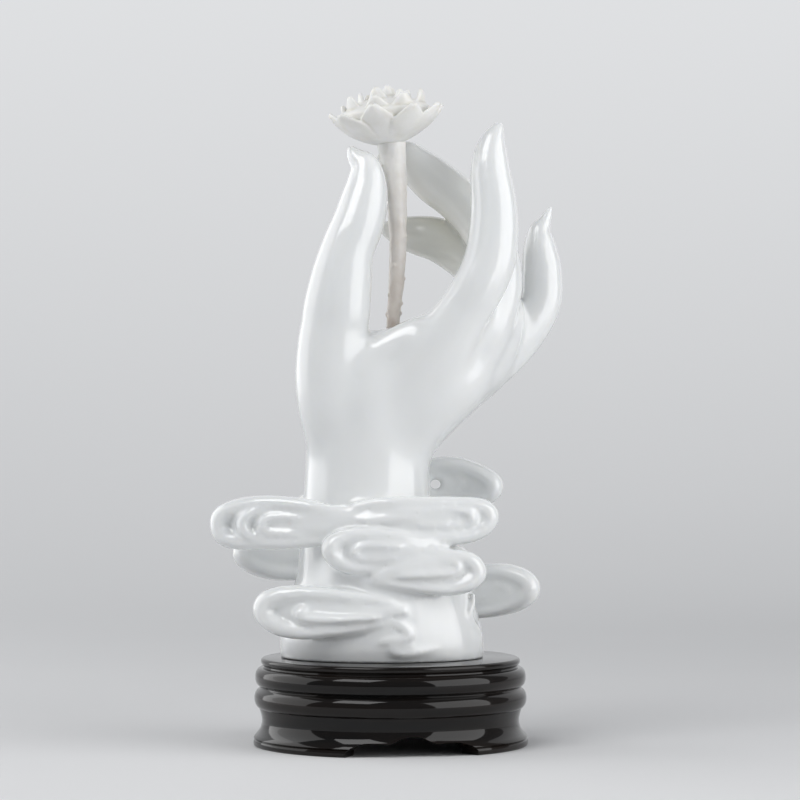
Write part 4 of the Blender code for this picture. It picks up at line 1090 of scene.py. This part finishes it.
def finish_floor():
    """Plain pale studio surface, seen and mirrored paler still far behind the object."""
    material = new_finish("studio_floor", (0.74, 0.74, 0.75), 0.75)
    shader = material.node_tree.nodes["Principled BSDF"]
    soft = ranged(material, object_noise(material, 3, 2), 0.3, 0.7)
    surface = blended(material, soft, (0.74, 0.742, 0.75), (0.76, 0.762, 0.768))
    link(material, surface, shader.inputs["Base Color"])
    path = material.node_tree.nodes.new("ShaderNodeLightPath")
    seen = path.outputs["Is Camera Ray"]
    for ray in ("Is Glossy Ray", "Is Transmission Ray"):
        either = node(material, "ShaderNodeMath")
        either.operation = "MAXIMUM"
        link(material, seen, either.inputs[0])
        link(material, path.outputs[ray], either.inputs[1])
        seen = either.outputs["Value"]
    spot = node(material, "ShaderNodeTexCoord")
    split = node(material, "ShaderNodeSeparateXYZ")
    link(material, spot.outputs["Object"], split.inputs["Vector"])
    far = node(material, "ShaderNodeMath")
    far.operation = "MULTIPLY"
    link(material, ranged(material, split.outputs["Y"], 0.2, 2.2, 0.0, 0.9), far.inputs[0])
    link(material, seen, far.inputs[1])
    glow = node(material, "ShaderNodeEmission", Color=(0.80, 0.81, 0.825, 1), Strength=1.0)
    mix = node(material, "ShaderNodeMixShader")
    link(material, far.outputs["Value"], mix.inputs["Fac"])
    link(material, shader.outputs["BSDF"], mix.inputs[1])
    link(material, glow.outputs["Emission"], mix.inputs[2])
    end = next(n for n in material.node_tree.nodes if n.type == "OUTPUT_MATERIAL")
    link(material, mix.outputs["Shader"], end.inputs["Surface"])
    return material


def dress(thing, material):
    thing.data.materials.clear()
    thing.data.materials.append(material)


def make_porcelain():
    body = shape_porcelain()
    trim_seat(body)
    shade(body)
    mark_hollows(body, "hollow", 0.088, 4)
    dress(body, finish_porcelain())
    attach(body, "root")
    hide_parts("porcelain_hand")


def softbox(name, azimuth, distance, height, width, tall, power):
    """A tall soft lamp; azimuth 0 stands behind the camera's side and positive turns to the right."""
    lamp = bpy.data.lights.new(name, "AREA")
    lamp.shape = "RECTANGLE"
    lamp.size = width
    lamp.size_y = tall
    lamp.energy = power
    thing = bpy.data.objects.new(name, lamp)
    bpy.context.scene.collection.objects.link(thing)
    turn = math.radians(azimuth)
    spot = Vector((distance * math.sin(turn), -distance * math.cos(turn), height))
    thing.location = spot
    thing.rotation_euler = (Vector((0, 0, 0.17)) - spot).to_track_quat("-Z", "Y").to_euler()


def make_studio():
    """Pale floor, pale surround, two tall soft lamps at the sides and one high in front."""
    bpy.ops.object.select_all(action="DESELECT")
    bpy.ops.mesh.primitive_plane_add(size=8, location=(0, -1.5, 0), enter_editmode=True)
    bpy.ops.mesh.select_all(action="DESELECT")
    bpy.ops.object.mode_set(mode="OBJECT")
    floor = bpy.context.object
    floor.name = "studio_floor"
    settle(floor)
    for edge in floor.data.edges:
        edge.select = all(floor.data.vertices[v].co.y > 2 for v in edge.vertices)
    bpy.ops.object.mode_set(mode="EDIT")
    bpy.ops.mesh.select_mode(type="EDGE")
    bpy.ops.mesh.extrude_region_move(TRANSFORM_OT_translate={"value": (0, 0, 4)})
    bpy.ops.mesh.select_all(action="DESELECT")
    bpy.ops.object.mode_set(mode="OBJECT")
    for edge in floor.data.edges:
        ends = [floor.data.vertices[v].co for v in edge.vertices]
        edge.select = all(end.y > 2 and end.z < 1 for end in ends)
    bpy.ops.object.mode_set(mode="EDIT")
    bpy.ops.mesh.bevel(offset=1.6, segments=24)
    bpy.ops.object.mode_set(mode="OBJECT")
    shade(floor)
    dress(floor, finish_floor())
    world = bpy.data.worlds.new("studio")
    world.use_nodes = True
    sky = world.node_tree.nodes["Background"]
    sky.inputs["Color"].default_value = (0.63, 0.66, 0.70, 1)
    sky.inputs["Strength"].default_value = 0.27
    bpy.context.scene.world = world
    softbox("lamp_left", -104, 1.1, 0.40, 1.4, 1.3, 9.5)
    softbox("lamp_right", 64, 1.1, 0.45, 1.2, 1.3, 12)
    softbox("lamp_front", -38, 0.9, 1.25, 0.8, 0.8, 9)


def make_camera():
    """Level camera at the height of the wrist, looking along +Y."""
    lens = bpy.data.cameras.new("camera")
    lens.sensor_width = 36
    frame_pixels = 800
    millimetres_per_pixel = 0.4826
    distance = 1.6
    lens.lens = lens.sensor_width * distance / (frame_pixels * millimetres_per_pixel * MM)
    camera = bpy.data.objects.new("camera", lens)
    bpy.context.scene.collection.objects.link(camera)
    camera.location = AXIS + Vector((0.0046, -distance, 0.166))
    camera.rotation_euler = (math.pi / 2, 0, 0)
    bpy.context.scene.camera = camera


make_porcelain()
make_lotus()
make_stand()
make_studio()
make_camera()
bpy.context.scene.view_settings.view_transform = "Standard"
